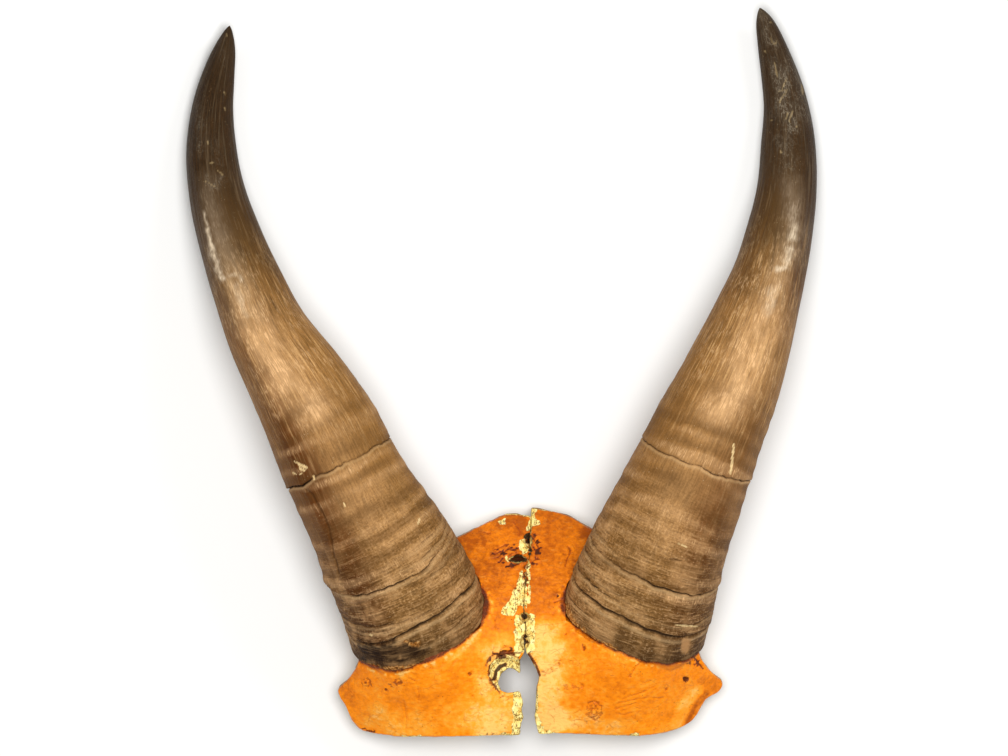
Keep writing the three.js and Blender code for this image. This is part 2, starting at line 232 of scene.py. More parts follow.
# Where rubbing has left a haze of fine scratches: a run of points, a half width and a strength.
LEFT_SCUFFS = [
    ([(-144.6, 252), (-141, 247.6), (-138, 252)], 1.4, 0.55), ([(-148.4, 284), (-148, 264)], 1.6, 0.3),
    ([(-141, 268), (-138.6, 258)], 1.8, 0.2), ([(-137, 320), (-137.6, 306)], 2, 0.15),
]
RIGHT_SCUFFS = [
    ([(104.6, 328), (107, 324)], 2, 0.8), ([(107.4, 321), (109, 314), (112, 312)], 1.6, 0.7),
    ([(111.4, 305), (113, 296), (114, 288)], 1.4, 0.7), ([(116.4, 300), (116, 290), (115.4, 282)], 2.4, 1.0),
    ([(118.6, 283), (119.4, 274)], 2.2, 1.0), ([(119, 306), (123, 294), (125, 280)], 3, 0.55),
    ([(116, 268), (118, 258)], 4, 0.4),
]

# The left rim has a nearly black blotch. A tan crust clings near the rims.
BLOTCH = [(-76, 43), (-68, 41.6), (-60, 43.4), (-52, 42), (-44, 39), (-50, 36), (-62, 33.4), (-74, 34.6)]
CRUST = [
    [(-56, 45), (-52.6, 43.4), (-48.4, 43), (-49, 41.6), (-53.6, 41.8)],
    [(-75, 34), (-64, 31.6), (-52, 32.6), (-42, 34.6), (-42, 32.6), (-54, 30), (-66, 29.4), (-76, 31.4)],
    [(16.6, 60), (18.4, 60), (19.6, 55.8), (23, 51), (28, 46.4), (34, 43), (40.4, 40.6), (40, 37),
     (26, 42), (17, 52)],
]
SCAR = [(69.4, 44.6), (73.4, 44.4), (72.2, 37.6), (69, 38.2)]  # a tan scar near the right rim

# ---------- the skull plate's form ----------

FOREHEAD_HEIGHT = 42
CROWN_Y = 40
LOWER_EDGE_DROP = 8
UPPER_EDGE_Y = 102
UPPER_EDGE_DROP = 26
BROW_REACH = 86
BROW_DROP = 23
BROW_ROUNDING = 2.5
BOSS = {"x": 51, "y": 40, "spread": 27, "height": 17}
BONE_VOXEL = 0.58

# The course of the break above the slot, and how far each side's crumbled edge leans over it.
SEAM = [
    (38.4, -0.8), (42, -1.2), (48, -0.7), (54, -1.1), (59, -1.7), (63, -1.4), (71, -0.7), (77, -0.1),
    (81, 0.9),
    (85, 1.6), (88.5, 0.5), (92.7, 1.8), (103, 1.6),
]
SEAM_CLOSING = 0.24

# Patches where the paint has gone and raw bone shows, as outlines in x and y.
BARE_PATCHES = [
    [(-2.4, 75.4), (-1.2, 71), (0.2, 67), (0.2, 62), (-0.2, 58), (-4.1, 58.7), (-5.6, 54.6),
     (-11, 55), (-11.6, 57), (-7.1, 63.4), (-6.3, 66.4), (-4.8, 68.6), (-3.1, 74.3)],
    [(0.2, 79), (1.3, 79), (1.5, 67), (0.8, 60), (0.2, 66)],
    [(1, 103.5), (4.4, 102.6), (3.2, 98.4), (6.4, 95.6), (2.6, 94.6), (0, 92.4), (-0.4, 94), (1.2, 97.6)],
    [(-3.4, 88.6), (-0.4, 89), (0.5, 84.6), (0, 82.4), (-2, 82.4), (-3.4, 85)],
    [(-10.4, 82), (-8.4, 81.6), (-8.4, 78.8), (-9.8, 79)],
    [(-13.2, 97.2), (-10, 98.2), (-9.8, 96), (-12.4, 95.6)],
    [(-5.8, 55.4), (3.4, 55.4), (3.4, 39.4), (1.6, 38), (-5.6, 38.6), (-5.8, 45)],
    [(-6.2, 21), (-2, 21.4), (-1, 0), (-7.6, -1), (-6.6, 9)],
    [(3, 23), (4.4, 23), (4.8, 12), (6.2, 6), (8, 3.4), (14, 1), (14, -1), (2, -1)],
]
PAINTED_SPOT = [(-4.2, 59), (-0.8, 59.4), (-0.4, 55.6), (-3.6, 55.2)]

# The outer layer of bone round the nerve hole is broken further back than the inner one.
LEDGE_OUTLINE = [
    (-3, 38), (-6.3, 38), (-11, 37), (-14.6, 34.6), (-17, 31.6), (-17, 27.6),
    (-15.3, 23.6), (-12.6, 20.4), (-8, 24), (-3.2, 30),
]
LEDGE_RIM_POINTS = 8  # the outline's first points follow its broken edge
LEDGE_HOLLOW = [(-14.2, 36.4), (-10.6, 39.6), (-6.4, 39.2), (-5.4, 36.6), (-9, 36), (-12, 34.4)]

# Pits and holes in the outer face: x, y, radius, depth, darkness.
PITS = [
    (0.3, 90, 1.7, 3, 1.0), (0.6, 87.6, 1.2, 2.6, 1.0), (1.4, 84, 1, 2.4, 1.0), (1.2, 82.2, 0.8, 2, 1.0),
    (-7, 79.6, 1.2, 2.4, 0.95), (-5, 80, 1.9, 3, 1.0), (-3, 80.4, 1.8, 3, 1.0), (-1.4, 79.6, 1.3, 2, 0.95),
    (-0.6, 76.6, 1.2, 1.5, 0.6), (-0.7, 73.6, 1.1, 1.5, 0.6), (-0.6, 70.8, 0.9, 1.2, 0.6),
    (-1, 54, 1.6, 3, 1.0), (-0.8, 51.6, 0.6, 2, 0.9), (-0.9, 45.2, 1.2, 3, 1.0), (-0.6, 43, 1.4, 3, 1.0),
    (-3.6, 66.2, 0.7, 1, 0.6), (-5.4, 66.8, 0.7, 1, 0.7),
    (-72.9, 24.3, 0.8, 0.6, 0.6), (-57.4, 24.6, 0.9, 0.6, 0.6), (-63.5, 21.4, 0.8, 0.6, 0.7),
    (-25.7, 28.4, 1.1, 0.9, 0.6), (-42.8, 8.6, 0.6, 0.4, 0.4), (-17, 13.4, 0.9, 0.4, 0.3),
    (-24.4, 18.6, 0.8, 0.3, 0.3), (-22.4, 64.2, 0.7, 0.6, 0.9), (-14.6, 92, 0.5, 0.3, 0.4),
    (13.6, 63.6, 0.8, 0.5, 0.9), (17, 46.4, 0.9, 0.5, 0.45), (25.4, 40.4, 1.1, 0.8, 0.6),
    (46.4, 27.8, 0.9, 0.6, 0.45), (71.6, 25.8, 1.5, 1.2, 0.85), (62.6, 21.6, 0.8, 0.4, 0.5),
    (24.8, 22.8, 0.8, 0.4, 0.4), (31, 14.4, 0.6, 0.4, 0.5), (29.4, 8.6, 0.8, 0.4, 0.5),
    (32.6, 10.6, 0.7, 0.4, 0.4),
    (14.2, 33, 0.7, 0.4, 0.4), (8.8, 30.2, 0.7, 0.4, 0.4),
]

# Marks cut into the paint: a run of points, a half width and a darkness.
MARKS = [
    ([(0.7, 37.6), (2.2, 35.4), (3.6, 33), (4.8, 30.4), (5.5, 28)], 0.8, 0.8),
    ([(-14.6, 26.6), (-14, 29.6), (-12.2, 31.6), (-9.8, 32.6)], 1.1, 0.95),
    ([(18.9, 85.5), (19.4, 82.6), (18, 80.4), (17.1, 77)], 0.3, 0.6), ([(18.4, 85.8), (19.6, 84)], 0.5, 0.7),
    ([(12.2, 60.6), (14.6, 61.6), (17.4, 61.8)], 0.3, 0.6),
    ([(16.6, 65.2), (17.4, 63), (17, 60.6)], 0.5, 0.7),
    ([(-19.6, 92), (-17.6, 91.6), (-16.6, 91.8)], 0.3, 0.5),
    ([(-55.6, 16.6), (-54.4, 8), (-54.8, 0.5)], 0.25, 0.35),
    ([(74.2, 37), (76.4, 34.2), (79.2, 30.6)], 0.5, 0.85), ([(72.6, 37), (74, 33.6), (73.6, 31)], 0.3, 0.4),
    ([(26.6, 12.4), (27.4, 15.6), (30.4, 16.4), (33.2, 14), (33.6, 10.4), (30.6, 7.6),
      (27.6, 9.4)], 0.4, 0.5),
    ([(28.4, 13.6), (30.6, 12.2), (31.6, 10), (30, 9.2)], 0.35, 0.5), ([(30.4, 14), (31.8, 12.4)], 0.3, 0.5),
    ([(8.6, 30), (10.6, 31.4), (12.6, 32.6), (14.8, 34.8)], 0.35, 0.45),
    ([(7.4, 29.4), (10, 28.8), (12, 30)], 0.35, 0.45),
    ([(46.8, 28.8), (48.6, 31.4), (50, 33.2)], 0.4, 0.35), ([(24.8, 42), (25.2, 39.4)], 0.5, 0.6),
    ([(41, 15.4), (47, 16.6), (55, 17.8), (61, 17.4)], 0.25, 0.35),
    ([(40, 12.8), (45, 14.2), (49, 15.4)], 0.25, 0.4),
    ([(40.4, 10.4), (44, 10), (47.4, 11)], 0.25, 0.4), ([(43, 17.4), (52, 20), (58, 23.4)], 0.2, 0.25),
    ([(-14.6, 82), (-12.4, 83.4), (-10.2, 83), (-8, 85.4)], 0.4, 0.7),
    ([(-13.8, 84.4), (-11.4, 85.6), (-9.6, 86.4)], 0.3, 0.6),
    ([(-13.6, 80.6), (-11.6, 82)], 0.5, 0.7), ([(-12.6, 78.6), (-11, 80.4)], 0.6, 0.8),
    ([(-8.6, 76.8), (-7.4, 78), (-5.6, 77.2), (-4, 78)], 0.5, 0.7),
    ([(-7.4, 84), (-5.6, 83.6), (-4, 85)], 0.5, 0.65),
    ([(2.4, 89.6), (4, 87), (5.6, 84)], 0.4, 0.7), ([(2.8, 85.4), (4, 82.6), (3.6, 80.2)], 0.5, 0.75),
    ([(2.6, 91.6), (3.2, 88)], 0.4, 0.6), ([(4.8, 80.4), (2.6, 79), (1.8, 77.6)], 0.4, 0.6),
    ([(2.4, 77.4), (3, 74), (2.4, 70)], 0.25, 0.4), ([(-4.6, 94.4), (-3, 92.6), (-3.6, 90.4)], 0.3, 0.45),
    ([(-6, 96.6), (-5.2, 95.2)], 0.4, 0.5), ([(-14.6, 54), (-13.8, 51), (-14, 49)], 0.3, 0.35),
    ([(-17.6, 56.6), (-16, 55.6), (-14.4, 55.4)], 0.3, 0.3), ([(6, 55.6), (9, 56.2), (12, 55.2)], 0.3, 0.35),
    ([(-74.4, 25.4), (-72, 26.6), (-70.6, 24.8), (-71.6, 22.8), (-74, 22.8), (-74.8, 24.6)], 0.35, 0.5),
    ([(-59.6, 25.8), (-57.6, 26.4), (-56.2, 25)], 0.4, 0.5), ([(-53, 26.4), (-50.6, 25.4)], 0.35, 0.4),
    ([(-49.4, 22.6), (-48.6, 19.6), (-49, 16.8)], 0.3, 0.4),
    ([(-36.6, 8), (-35.4, 10.4), (-34.4, 11.4)], 0.3, 0.35),
    ([(-20.6, 26.6), (-18.8, 24.6), (-17.6, 22)], 0.3, 0.35),
    ([(-12.4, 17.6), (-10.6, 18.4), (-8.6, 18.2)], 0.35, 0.5),
    ([(-9.8, 16.4), (-7.4, 17.8)], 0.3, 0.4), ([(-33, 33.6), (-31.6, 34.8), (-30.4, 33.6)], 0.35, 0.3),
    ([(-15.4, 37), (-17.6, 35.2), (-18.4, 32)], 0.5, 0.6),
    ([(-17.8, 28.6), (-17, 25), (-15.4, 22)], 0.35, 0.55),
    ([(-20, 29.4), (-17.6, 28.6)], 0.3, 0.4), ([(-12.6, 39.2), (-10, 40.6), (-7, 40.6)], 0.35, 0.5),
]

# Where the paint is broken into brown flecks: a run of points, a reach and a darkness.
FLECKS = [
    ([(-14, 82.6), (-10, 83.6), (-6, 84.6)], 3.2, 0.9), ([(-13, 79), (-9.6, 77.4), (-5, 77.2)], 2.4, 0.9),
    ([(3, 89.6), (5, 85.6), (5, 81), (3, 78.6)], 2.8, 0.9), ([(-1, 76), (-1, 69)], 1.6, 0.75),
    ([(-17, 33), (-14.6, 37), (-10, 39.6), (-6, 39.4)], 2.4, 0.85),
    ([(-17.4, 31), (-16, 25), (-12.6, 20.6)], 1.3, 0.7),
    ([(8, 30), (13, 33)], 3, 0.5), ([(15, 21.6), (24, 23)], 3, 0.4), ([(28, 9), (31, 14)], 4.4, 0.45),
    ([(-62, 24), (-56, 24.6)], 2, 0.6), ([(-73, 24.6), (-71, 24)], 2.4, 0.55),
    ([(70.4, 34.6), (77, 33)], 2.6, 0.7),
    ([(-77, 3), (-70, 1)], 2.4, 0.8), ([(-20, 0.6), (-12, 0.4)], 1.6, 0.6),
    ([(18, 0.6), (34, 0.4)], 1.6, 0.5),
]

# Paler (above 0) and browner (below 0) zones of the paint: a run of points, a reach and an amount. Some are
# painted highlight and painted shade, as marked.
TONES = [
    ([(-16, 38), (-12, 41)], 9, 0.35), ([(-14, 22), (-12, 4)], 15, 0.34),
    ([(8, 44), (9, 30), (10, 8)], 13, 0.5),
    ([(-66, 8), (-60, 4), (-50, 4)], 12, 0.22), ([(-30, 9), (-20, 4)], 12, 0.2),
    ([(16, 8), (40, 3)], 9, 0.25),
    # A painted highlight along the right lower corner's bevel, then painted shade on its face.
    ([(67, 3), (70, 12), (76, 20)], 5, 0.35), ([(72.4, 6), (76, 14), (80.6, 19)], 2.6, -0.4),
    # Painted shade on the wing tips at both sides, which turn away from the light.
    ([(80, 24), (88, 21.6)], 5, -0.2), ([(-83, 23), (-79, 14)], 4.5, -0.2), ([(-80, 28), (-76, 31)], 5, -0.2),
    ([(-35, 35.6), (-28, 40.4), (-21.6, 47.4)], 2.4, 0.25), ([(-23.4, 74), (-20.6, 66)], 2, -0.3),
    ([(-8, 100), (-3, 97), (-3, 92)], 5, -0.18), ([(26, 92), (30, 88)], 5, -0.2),
    ([(-24, 88), (-18, 78), (-15, 70)], 10, -0.11),
]


# ---------- small tools ----------

def smoothstep(low, high, value):
    t = np.clip((value - low) / (high - low), 0, 1)
    return t * t * (3 - 2 * t)


def bell(value, middle, spread):
    return np.exp(-(((value - middle) / spread) ** 2))


def noise(points, cell, seed):
    """Smooth random values from -1 to 1, with features about a cell across. cell is one size or three."""
    size = 64
    values = np.random.default_rng(seed).uniform(-1, 1, (size, size, size))
    scaled = points / np.asarray(cell, float)
    corner = np.floor(scaled).astype(int)
    part = scaled - corner
    part = part * part * (3 - 2 * part)
    total = np.zeros(len(points))
    for offset in product((0, 1), repeat=3):
        weight = np.prod(np.where(offset, part, 1 - part), axis=1)
        x, y, z = ((corner + offset) % size).T
        total += weight * values[x, y, z]
    return total


def pore_distance(points, spacing, seed):
    """Distance from each point to the nearest of a scatter of pores about spacing apart."""
    size = 64
    jitter = np.random.default_rng(seed).uniform(0.1, 0.9, (size, size, size, 3))
    scaled = points / spacing
    corner = np.floor(scaled).astype(int)
    nearest = np.full(len(points), 9.0)
    for offset in product((-1, 0, 1), repeat=3):
        cell = corner + offset
        x, y, z = (cell % size).T
        nearest = np.minimum(nearest, np.linalg.norm(cell + jitter[x, y, z] - scaled, axis=1))
    return nearest * spacing


def line_distance(points, course):
    """Distance from points in the plane to a run of straight pieces."""
    nearest = np.full(len(points), 1e9)
    for start, end in zip(course[:-1], course[1:]):
        start, way = np.array(start, float), np.subtract(end, start)
        t = np.clip((points - start) @ way / (way @ way), 0, 1)
        nearest = np.minimum(nearest, np.linalg.norm(points - start - t[:, None] * way, axis=1))
    return nearest


def inside_depth(points, outline):
    """How far inside an outline each point is. It is negative outside."""
    closed = outline + outline[:1]
    within = np.zeros(len(points), bool)
    for (x0, y0), (x1, y1) in zip(closed[:-1], closed[1:]):
        crosses = (points[:, 1] > y0) != (points[:, 1] > y1)
        slope = (x1 - x0) / (y1 - y0) if y1 != y0 else 0
        within ^= crosses & (points[:, 0] < x0 + slope * (points[:, 1] - y0))
    return np.where(within, 1, -1) * line_distance(points, closed)


def read_points(mesh):
    flat = np.empty(len(mesh.vertices) * 3)
    mesh.vertices.foreach_get("co", flat)
    return flat.reshape(-1, 3)


def read_normals(mesh):
    flat = np.empty(len(mesh.vertices) * 3)
    mesh.vertex_normals.foreach_get("vector", flat)
    return flat.reshape(-1, 3)


def write_points(mesh, points):
    mesh.vertices.foreach_set("co", np.ascontiguousarray(points, np.float32).ravel())
    mesh.update()


def paint_attributes(mesh, **attributes):
    """Stores named numbers, or vectors, at each vertex for the materials to read."""
    for name, values in attributes.items():
        values = np.asarray(values, np.float32)
        kind, key = ("FLOAT", "value") if values.ndim == 1 else ("FLOAT_VECTOR", "vector")
        attribute = mesh.attributes.new(name, kind, "POINT")
        attribute.data.foreach_set(key, values.ravel())


def select_only(piece):
    bpy.ops.object.select_all(action="DESELECT")
    piece.select_set(True)
    bpy.context.view_layer.objects.active = piece


def apply_modifier(piece, kind, **settings):
    select_only(piece)
    modifier = piece.modifiers.new(kind.lower(), kind)
    for key, value in settings.items():
        setattr(modifier, key, value)
    bpy.ops.object.modifier_apply(modifier=modifier.name)


def finish_piece(piece, node, material):
    """Makes a finished mesh stand for its CAD node."""
    select_only(piece)
    bpy.ops.object.shade_smooth()
    piece.data.materials.clear()
    piece.data.materials.append(material)
    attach(piece, "root")
    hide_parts(node)


# ---------- horns ----------

def smooth_run(stations, samples=1500):
    """A smooth curve through the stations, sampled evenly by chord."""
    knots = np.array(stations, float)
    chord = np.linalg.norm(np.diff(knots[:, :3], axis=0), axis=1)
    reach = np.concatenate([[0], np.cumsum(chord)])
    slope = np.gradient(knots, reach, axis=0)
    at = np.linspace(0, reach[-1], samples)
    i = np.clip(np.searchsorted(reach, at, side="right") - 1, 0, len(chord) - 1)
    t = ((at - reach[i]) / chord[i])[:, None]
    h = chord[i][:, None]
    return (
        knots[i] * (2 * t**3 - 3 * t**2 + 1)
        + slope[i] * h * (t**3 - 2 * t**2 + t)
        + knots[i + 1] * (3 * t**2 - 2 * t**3)
        + slope[i + 1] * h * (t**3 - t**2)
    )


class HornLine:
    """The line a horn follows, with its section's directions and half sizes."""

    def __init__(self, stations):
        run = smooth_run(stations)
        centre = run[:, :3]
        step = np.linalg.norm(np.diff(centre, axis=0), axis=1)
        self.reach = np.concatenate([[0], np.cumsum(step)])
        self.length = self.reach[-1]
        heading = np.gradient(centre, self.reach, axis=0)
        heading /= np.linalg.norm(heading, axis=1)[:, None]
        front = np.array([0, 0, 1]) - heading * heading[:, 2:]
        front /= np.linalg.norm(front, axis=1)[:, None]
        self.columns = np.hstack([centre, np.cross(heading, front), front, run[:, 3:]])

    def at(self, distance):
        """Centre, across, front, half width and half depth at distances from the rim."""
        found = np.stack([np.interp(distance, self.reach, c) for c in self.columns.T], axis=1)
        return found[:, :3], found[:, 3:6], found[:, 6:9], found[:, 9], found[:, 10]


def straight_horn(name, length, cracks):
    """A closed upright rod of radius 1 and the horn's length, ringed where the horn needs detail."""
    middles = [
        crack.at + (crack.lean_out + crack.lean_front) / 2
        for crack in cracks
        if crack.depth >= MAIN_CRACK_DEPTH
    ]
    steps = [RIM_STEP]
    while sum(steps) < RIBBED_LENGTH:
        reached = sum(steps) + CRACK_STEP
        near = any(abs(reached - middle) < CRACK_REACH for middle in middles)
        steps.append(CRACK_STEP if near else RIBBED_STEP)
    count = round((length - sum(steps)) / SMOOTH_STEP)
    steps += [(length - sum(steps)) / count] * count
    bpy.ops.object.select_all(action="DESELECT")
    bpy.ops.mesh.primitive_circle_add(vertices=HORN_SIDES, radius=1, fill_type="NGON", location=(0, 0, 0))
    rod = bpy.context.object
    rod.name = rod.data.name = name
    bpy.ops.object.mode_set(mode="EDIT")
    bpy.ops.mesh.select_all(action="SELECT")
    for step in steps:
        bpy.ops.mesh.extrude_region_move(TRANSFORM_OT_translate={"value": (0, 0, step)})
    bpy.ops.mesh.select_all(action="SELECT")
    bpy.ops.mesh.normals_make_consistent(inside=False)
    bpy.ops.object.mode_set(mode="OBJECT")
    apply_modifier(rod, "SUBSURF", levels=SUBDIVISIONS, render_levels=SUBDIVISIONS)
    return rod


def section_swell(degrees, distance):
    """How far the oval section swells at the keel and flattens beside it."""
    keel_at = np.interp(distance, *zip(*KEEL_COURSE))
    swell = 1 + KEEL["height"] * bell(degrees, keel_at, KEEL["spread"])
    for flat in FLATS:
        swell += flat["height"] * bell(degrees, flat["at"], flat["spread"])
    return swell


def crack_relief(crack, degrees, distance, rod, seed):
    """Height in millimetres, then darkness and paleness from 0 to 1, beside one growth crack."""
    turn = np.radians(degrees)
    at = crack.at + crack.lean_out * np.cos(turn) + crack.lean_front * np.sin(turn)
    ring = np.column_stack([rod[:, 0], rod[:, 1], np.zeros(len(rod))])
    at += 0.7 * noise(ring, 6, seed) + 0.35 * noise(ring, 1.5, seed + 1)
    away = distance - at
    strength = np.interp(degrees, *zip(*crack.strength)) * (1 + 0.3 * noise(ring, 5, seed + 2))
    width = crack.width * np.where(away > 0, 0.35, 0.75) * (0.6 + 0.4 * np.clip(strength, 0, 1.5))
    groove = np.exp(-((away / width) ** 2)) * strength
    lip = crack.lip * np.minimum(strength, 1) + crack.outer_lip * bell(degrees, 15, 40)
    overhang = np.where(away > 0, np.exp(-away / 9), 0) * smoothstep(0, 0.6, away)
    edge = bell(away, -1.9 * crack.width, 0.7) * np.clip(strength, 0, 1)
    height = lip * overhang - crack.depth * groove + 0.15 * edge
    return height, np.clip(groove, 0, 1), edge


def growth_relief(distance, rod, seed):
    """Soft ribs, wrinkles and lengthwise flutes, in millimetres, and the ribs alone from -1 to 1."""
    ribbed = smoothstep(10, 26, distance) * (1 - smoothstep(100, 140, distance))
    warp = distance + 2.2 * noise(rod, (17, 17, 30), seed) + 0.7 * noise(rod, (4, 4, 8), seed + 7)
    bent = np.column_stack([rod[:, 0], rod[:, 1], warp])
    ripple = np.sin(2 * np.pi * warp / RIPPLE_PITCH)
    ripple *= 0.55 + 0.6 * noise(bent, (17, 17, 6), seed + 1)
    fold = noise(bent, (24, 24, 4.2), seed + 2)
    crest = ribbed * np.clip(0.6 * ripple + 0.7 * fold, -1, 1)
    wrinkled = 1 - smoothstep(12, 60, distance)
    wrinkles = wrinkled * 0.16 * noise(bent, (9, 9, 1.1), seed + 3)
    fluted = smoothstep(30, 110, distance) * (1 - 0.6 * smoothstep(210, 280, distance))
    flutes = fluted * (0.11 * noise(rod, (2, 2, 24), seed + 4) + 0.07 * noise(rod, (0.9, 0.9, 13), seed + 5))
    lumps = 0.35 * noise(rod, 20, seed + 6)
    return 0.25 * crest + wrinkles + flutes + lumps, crest


def mark_mask(flat, marks, ragged):
    """How much each point in plan lies on any of the marks, from 0 to 1."""
    mask = np.zeros(len(flat))
    for course, half_width in marks:
        away = line_distance(flat, course) + 0.5 * half_width * ragged
        mask = np.maximum(mask, 1 - smoothstep(0.3 * half_width, half_width + 0.4, away))
    return mask


def soft_mask(flat, marks):
    """How strongly any of the painted glints or scuffs shows at each point in plan, fading away from it."""
    mask = np.zeros(len(flat))
    for course, half_width, strength in marks:
        away = line_distance(flat, course)
        spread = 0.7 * bell(away, 0, half_width) + 0.3 * bell(away, 0, 2 * half_width + 1)
        mask = np.maximum(mask, strength * spread)
    return mask


def horn_sheath(name, stations, cracks, rim_drop, side_shade, seed):
    """One horn's sheath: a rod wrapped along the horn's line, with its growth on it."""
    line = HornLine(stations)
    sheath = straight_horn(name, line.length, cracks)
    straight = read_points(sheath.data)
    outward = math.copysign(1, stations[0][0])
    turn = np.arctan2(-straight[:, 1], straight[:, 0])  # the rod's -Y side becomes the horn's front
    degrees = np.degrees(np.arctan2(np.sin(turn), outward * np.cos(turn)))
    radius = np.hypot(straight[:, 0], straight[:, 1])
    radius = np.minimum(radius / np.percentile(radius, 90), 1)
    distance = np.clip(straight[:, 2], 0, line.length)
    rod = np.column_stack([GRAIN_RADIUS * np.cos(turn), GRAIN_RADIUS * np.sin(turn), distance])
    rod += GRAIN_SHIFT

    relief, crest = growth_relief(distance, rod, seed)
    dark, edge = np.zeros(len(rod)), np.zeros(len(rod))
    for number, crack in enumerate(cracks):
        height, shade, light = crack_relief(crack, degrees, distance, rod, seed + 20 + 5 * number)
        relief += height
        dark = np.maximum(dark, shade)
        edge = np.maximum(edge, light)
    rim = 1 - smoothstep(0, 7, distance)
    ragged = noise(rod, (3.2, 3.2, 50), seed + 130) + 0.6 * noise(rod, (1.3, 1.3, 50), seed + 131)
    along = distance + rim * (0.9 + 0.7 * ragged)
    relief -= 0.3 * (1 - smoothstep(5, 45, along)) + 0.7 * (1 - smoothstep(0, 2.2, along))
    relief *= smoothstep(0, 22, line.length - along) * 0.85 + 0.15

    centre, across, front, wide, deep = line.at(along)
    swell = section_swell(degrees, along)
    wide, deep = wide * swell + relief, deep * swell + relief
    points = (
        centre
        + across * (np.cos(turn) * radius * wide)[:, None]
        + front * (np.sin(turn) * radius * deep)[:, None]
    )
    drop = np.interp(degrees, *zip(*rim_drop)) * (1 - smoothstep(0, 9, distance))
    points -= np.cross(front, across) * drop[:, None]
    points[:, 2] = np.maximum(points[:, 2], 0)
    write_points(sheath.data, points)

    # Painted shade for the outer side past the keel, and for the inner side.
    past_keel = np.interp(distance, *zip(*KEEL_COURSE)) + SIDE_REACH * bell(distance, 75, 60) - degrees
    past_keel += 6 * noise(rod, (4, 4, 24), seed + 132) + 5 * noise(rod, (1.5, 1.5, 7), seed + 133)
    side = smoothstep(-24, 22, past_keel) * smoothstep(-150, -60, degrees)
    side *= (0.5 + 0.5 * bell(degrees, 58, 24)) * np.interp(distance, *zip(*side_shade["outer"]))
    inner = smoothstep(0.1, 0.75, -np.cos(np.radians(degrees)))
    side += inner * np.interp(distance, *zip(*side_shade["inner"]))
    paint_attributes(
        sheath.data, grain=rod - GRAIN_SHIFT, crack=dark, edge=edge, crest=crest, side=side, inner=inner,
        rim=1 - smoothstep(0.5, 7, distance),
    )
    return sheath


def wear_horn(sheath, chips, creases, glints, polish_and_highlight, scuffs, seed):
    """Marks the front of a finished sheath, then moves it into the frame."""
    mesh = sheath.data
    points = read_points(mesh)
    normals = read_normals(mesh)
    flat = points[:, :2]
    shifted = points + WEAR_SHIFT
    front = smoothstep(0.1, 0.3, normals[:, 2])
    ragged = noise(shifted, 0.9, seed)
    chip = mark_mask(flat, chips, ragged) * front
    crease = mark_mask(flat, creases, ragged) * front
    # Painted glints, and the band of gloss and painted highlight along the polished ridge.
    wavy = flat + np.outer(noise(shifted, 3.5, seed + 6), (1.1, 0))
    glint = soft_mask(wavy, glints) * front
    glint *= 0.85 + 0.35 * noise(shifted, (2.2, 3, 2.2), seed + 1) + 0.3 * noise(shifted, 0.8, seed + 5)
    half_width = np.interp(flat[:, 1], *zip(*POLISH_AND_HIGHLIGHT_HALF_WIDTH))
    sheen = bell(line_distance(flat, polish_and_highlight), 0, half_width) * front
    uneven = 1.8 * noise(shifted, 2.6, seed + 2) + 1.2 * noise(shifted, 1, seed + 7)
    blotch = smoothstep(-1.4, 1.2, inside_depth(flat, BLOTCH) + uneven) * front
    scar = smoothstep(-0.5, 0.5, inside_depth(flat, SCAR) + 0.5 * ragged) * front
    crust = np.zeros(len(flat))
    for patch in CRUST:
        depth = inside_depth(flat, patch) + 0.9 * noise(shifted, 1.2, seed + 3)
        crust = np.maximum(crust, smoothstep(-0.5, 0.5, depth) * front)
    relief = 0.35 * crust * noise(shifted, 1.1, seed + 4) - 0.3 * chip - 0.5 * crease - 0.3 * scar
    write_points(mesh, (points + normals * relief[:, None] + FRAME_SHIFT) * MM)
    paint_attributes(
        mesh, chip=chip, crease=crease, glint=glint, sheen=sheen, blotch=blotch, crust=crust, scar=scar,
        scuff=soft_mask(wavy, scuffs) * front,
    )


# ---------- skull plate ----------

def forehead_height(x, y):
    below = np.maximum(CROWN_Y - y, 0) / CROWN_Y
    above = np.maximum(y - CROWN_Y, 0) / (UPPER_EDGE_Y - CROWN_Y)
    distance = np.hypot(np.abs(x) - BOSS["x"], y - BOSS["y"])
    return (
        FOREHEAD_HEIGHT
        - LOWER_EDGE_DROP * below**2
        - UPPER_EDGE_DROP * above**2
        - BROW_DROP * (np.abs(x) / BROW_REACH) ** BROW_ROUNDING
        + BOSS["height"] * bell(distance, 0, BOSS["spread"])
    )


def bone_copy(name, node):
    """A dense copy of a CAD half, with its edges slightly rounded."""
    bone = bpy.data.objects.new(name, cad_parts[node].data.copy())
    bone.data.name = name
    bpy.context.scene.collection.objects.link(bone)
    for key in list(bone.keys()):
        del bone[key]
    select_only(bone)
    bpy.ops.object.mode_set(mode="EDIT")
    bpy.ops.mesh.select_all(action="SELECT")
    bpy.ops.mesh.remove_doubles(threshold=1e-6)
    bpy.ops.object.mode_set(mode="OBJECT")
    apply_modifier(bone, "REMESH", mode="VOXEL", voxel_size=BONE_VOXEL * MM)
    apply_modifier(bone, "SMOOTH", factor=0.5, iterations=6)
    return bone


def rim_distance(points, sheath):
    """Distance in plan, in millimetres, from points in the frame to the lowest part of a sheath."""
    rim = np.empty(len(sheath.data.vertices), np.float32)
    sheath.data.attributes["rim"].data.foreach_get("value", rim)
    level = np.array([1, 1, 0])
    rim_points = (read_points(sheath.data) * level)[rim > 0.02]
    tree = KDTree(len(rim_points))
    for number, point in enumerate(rim_points):
        tree.insert(point, number)
    tree.balance()
    return np.array([tree.find(point)[2] for point in points * level]) / MM


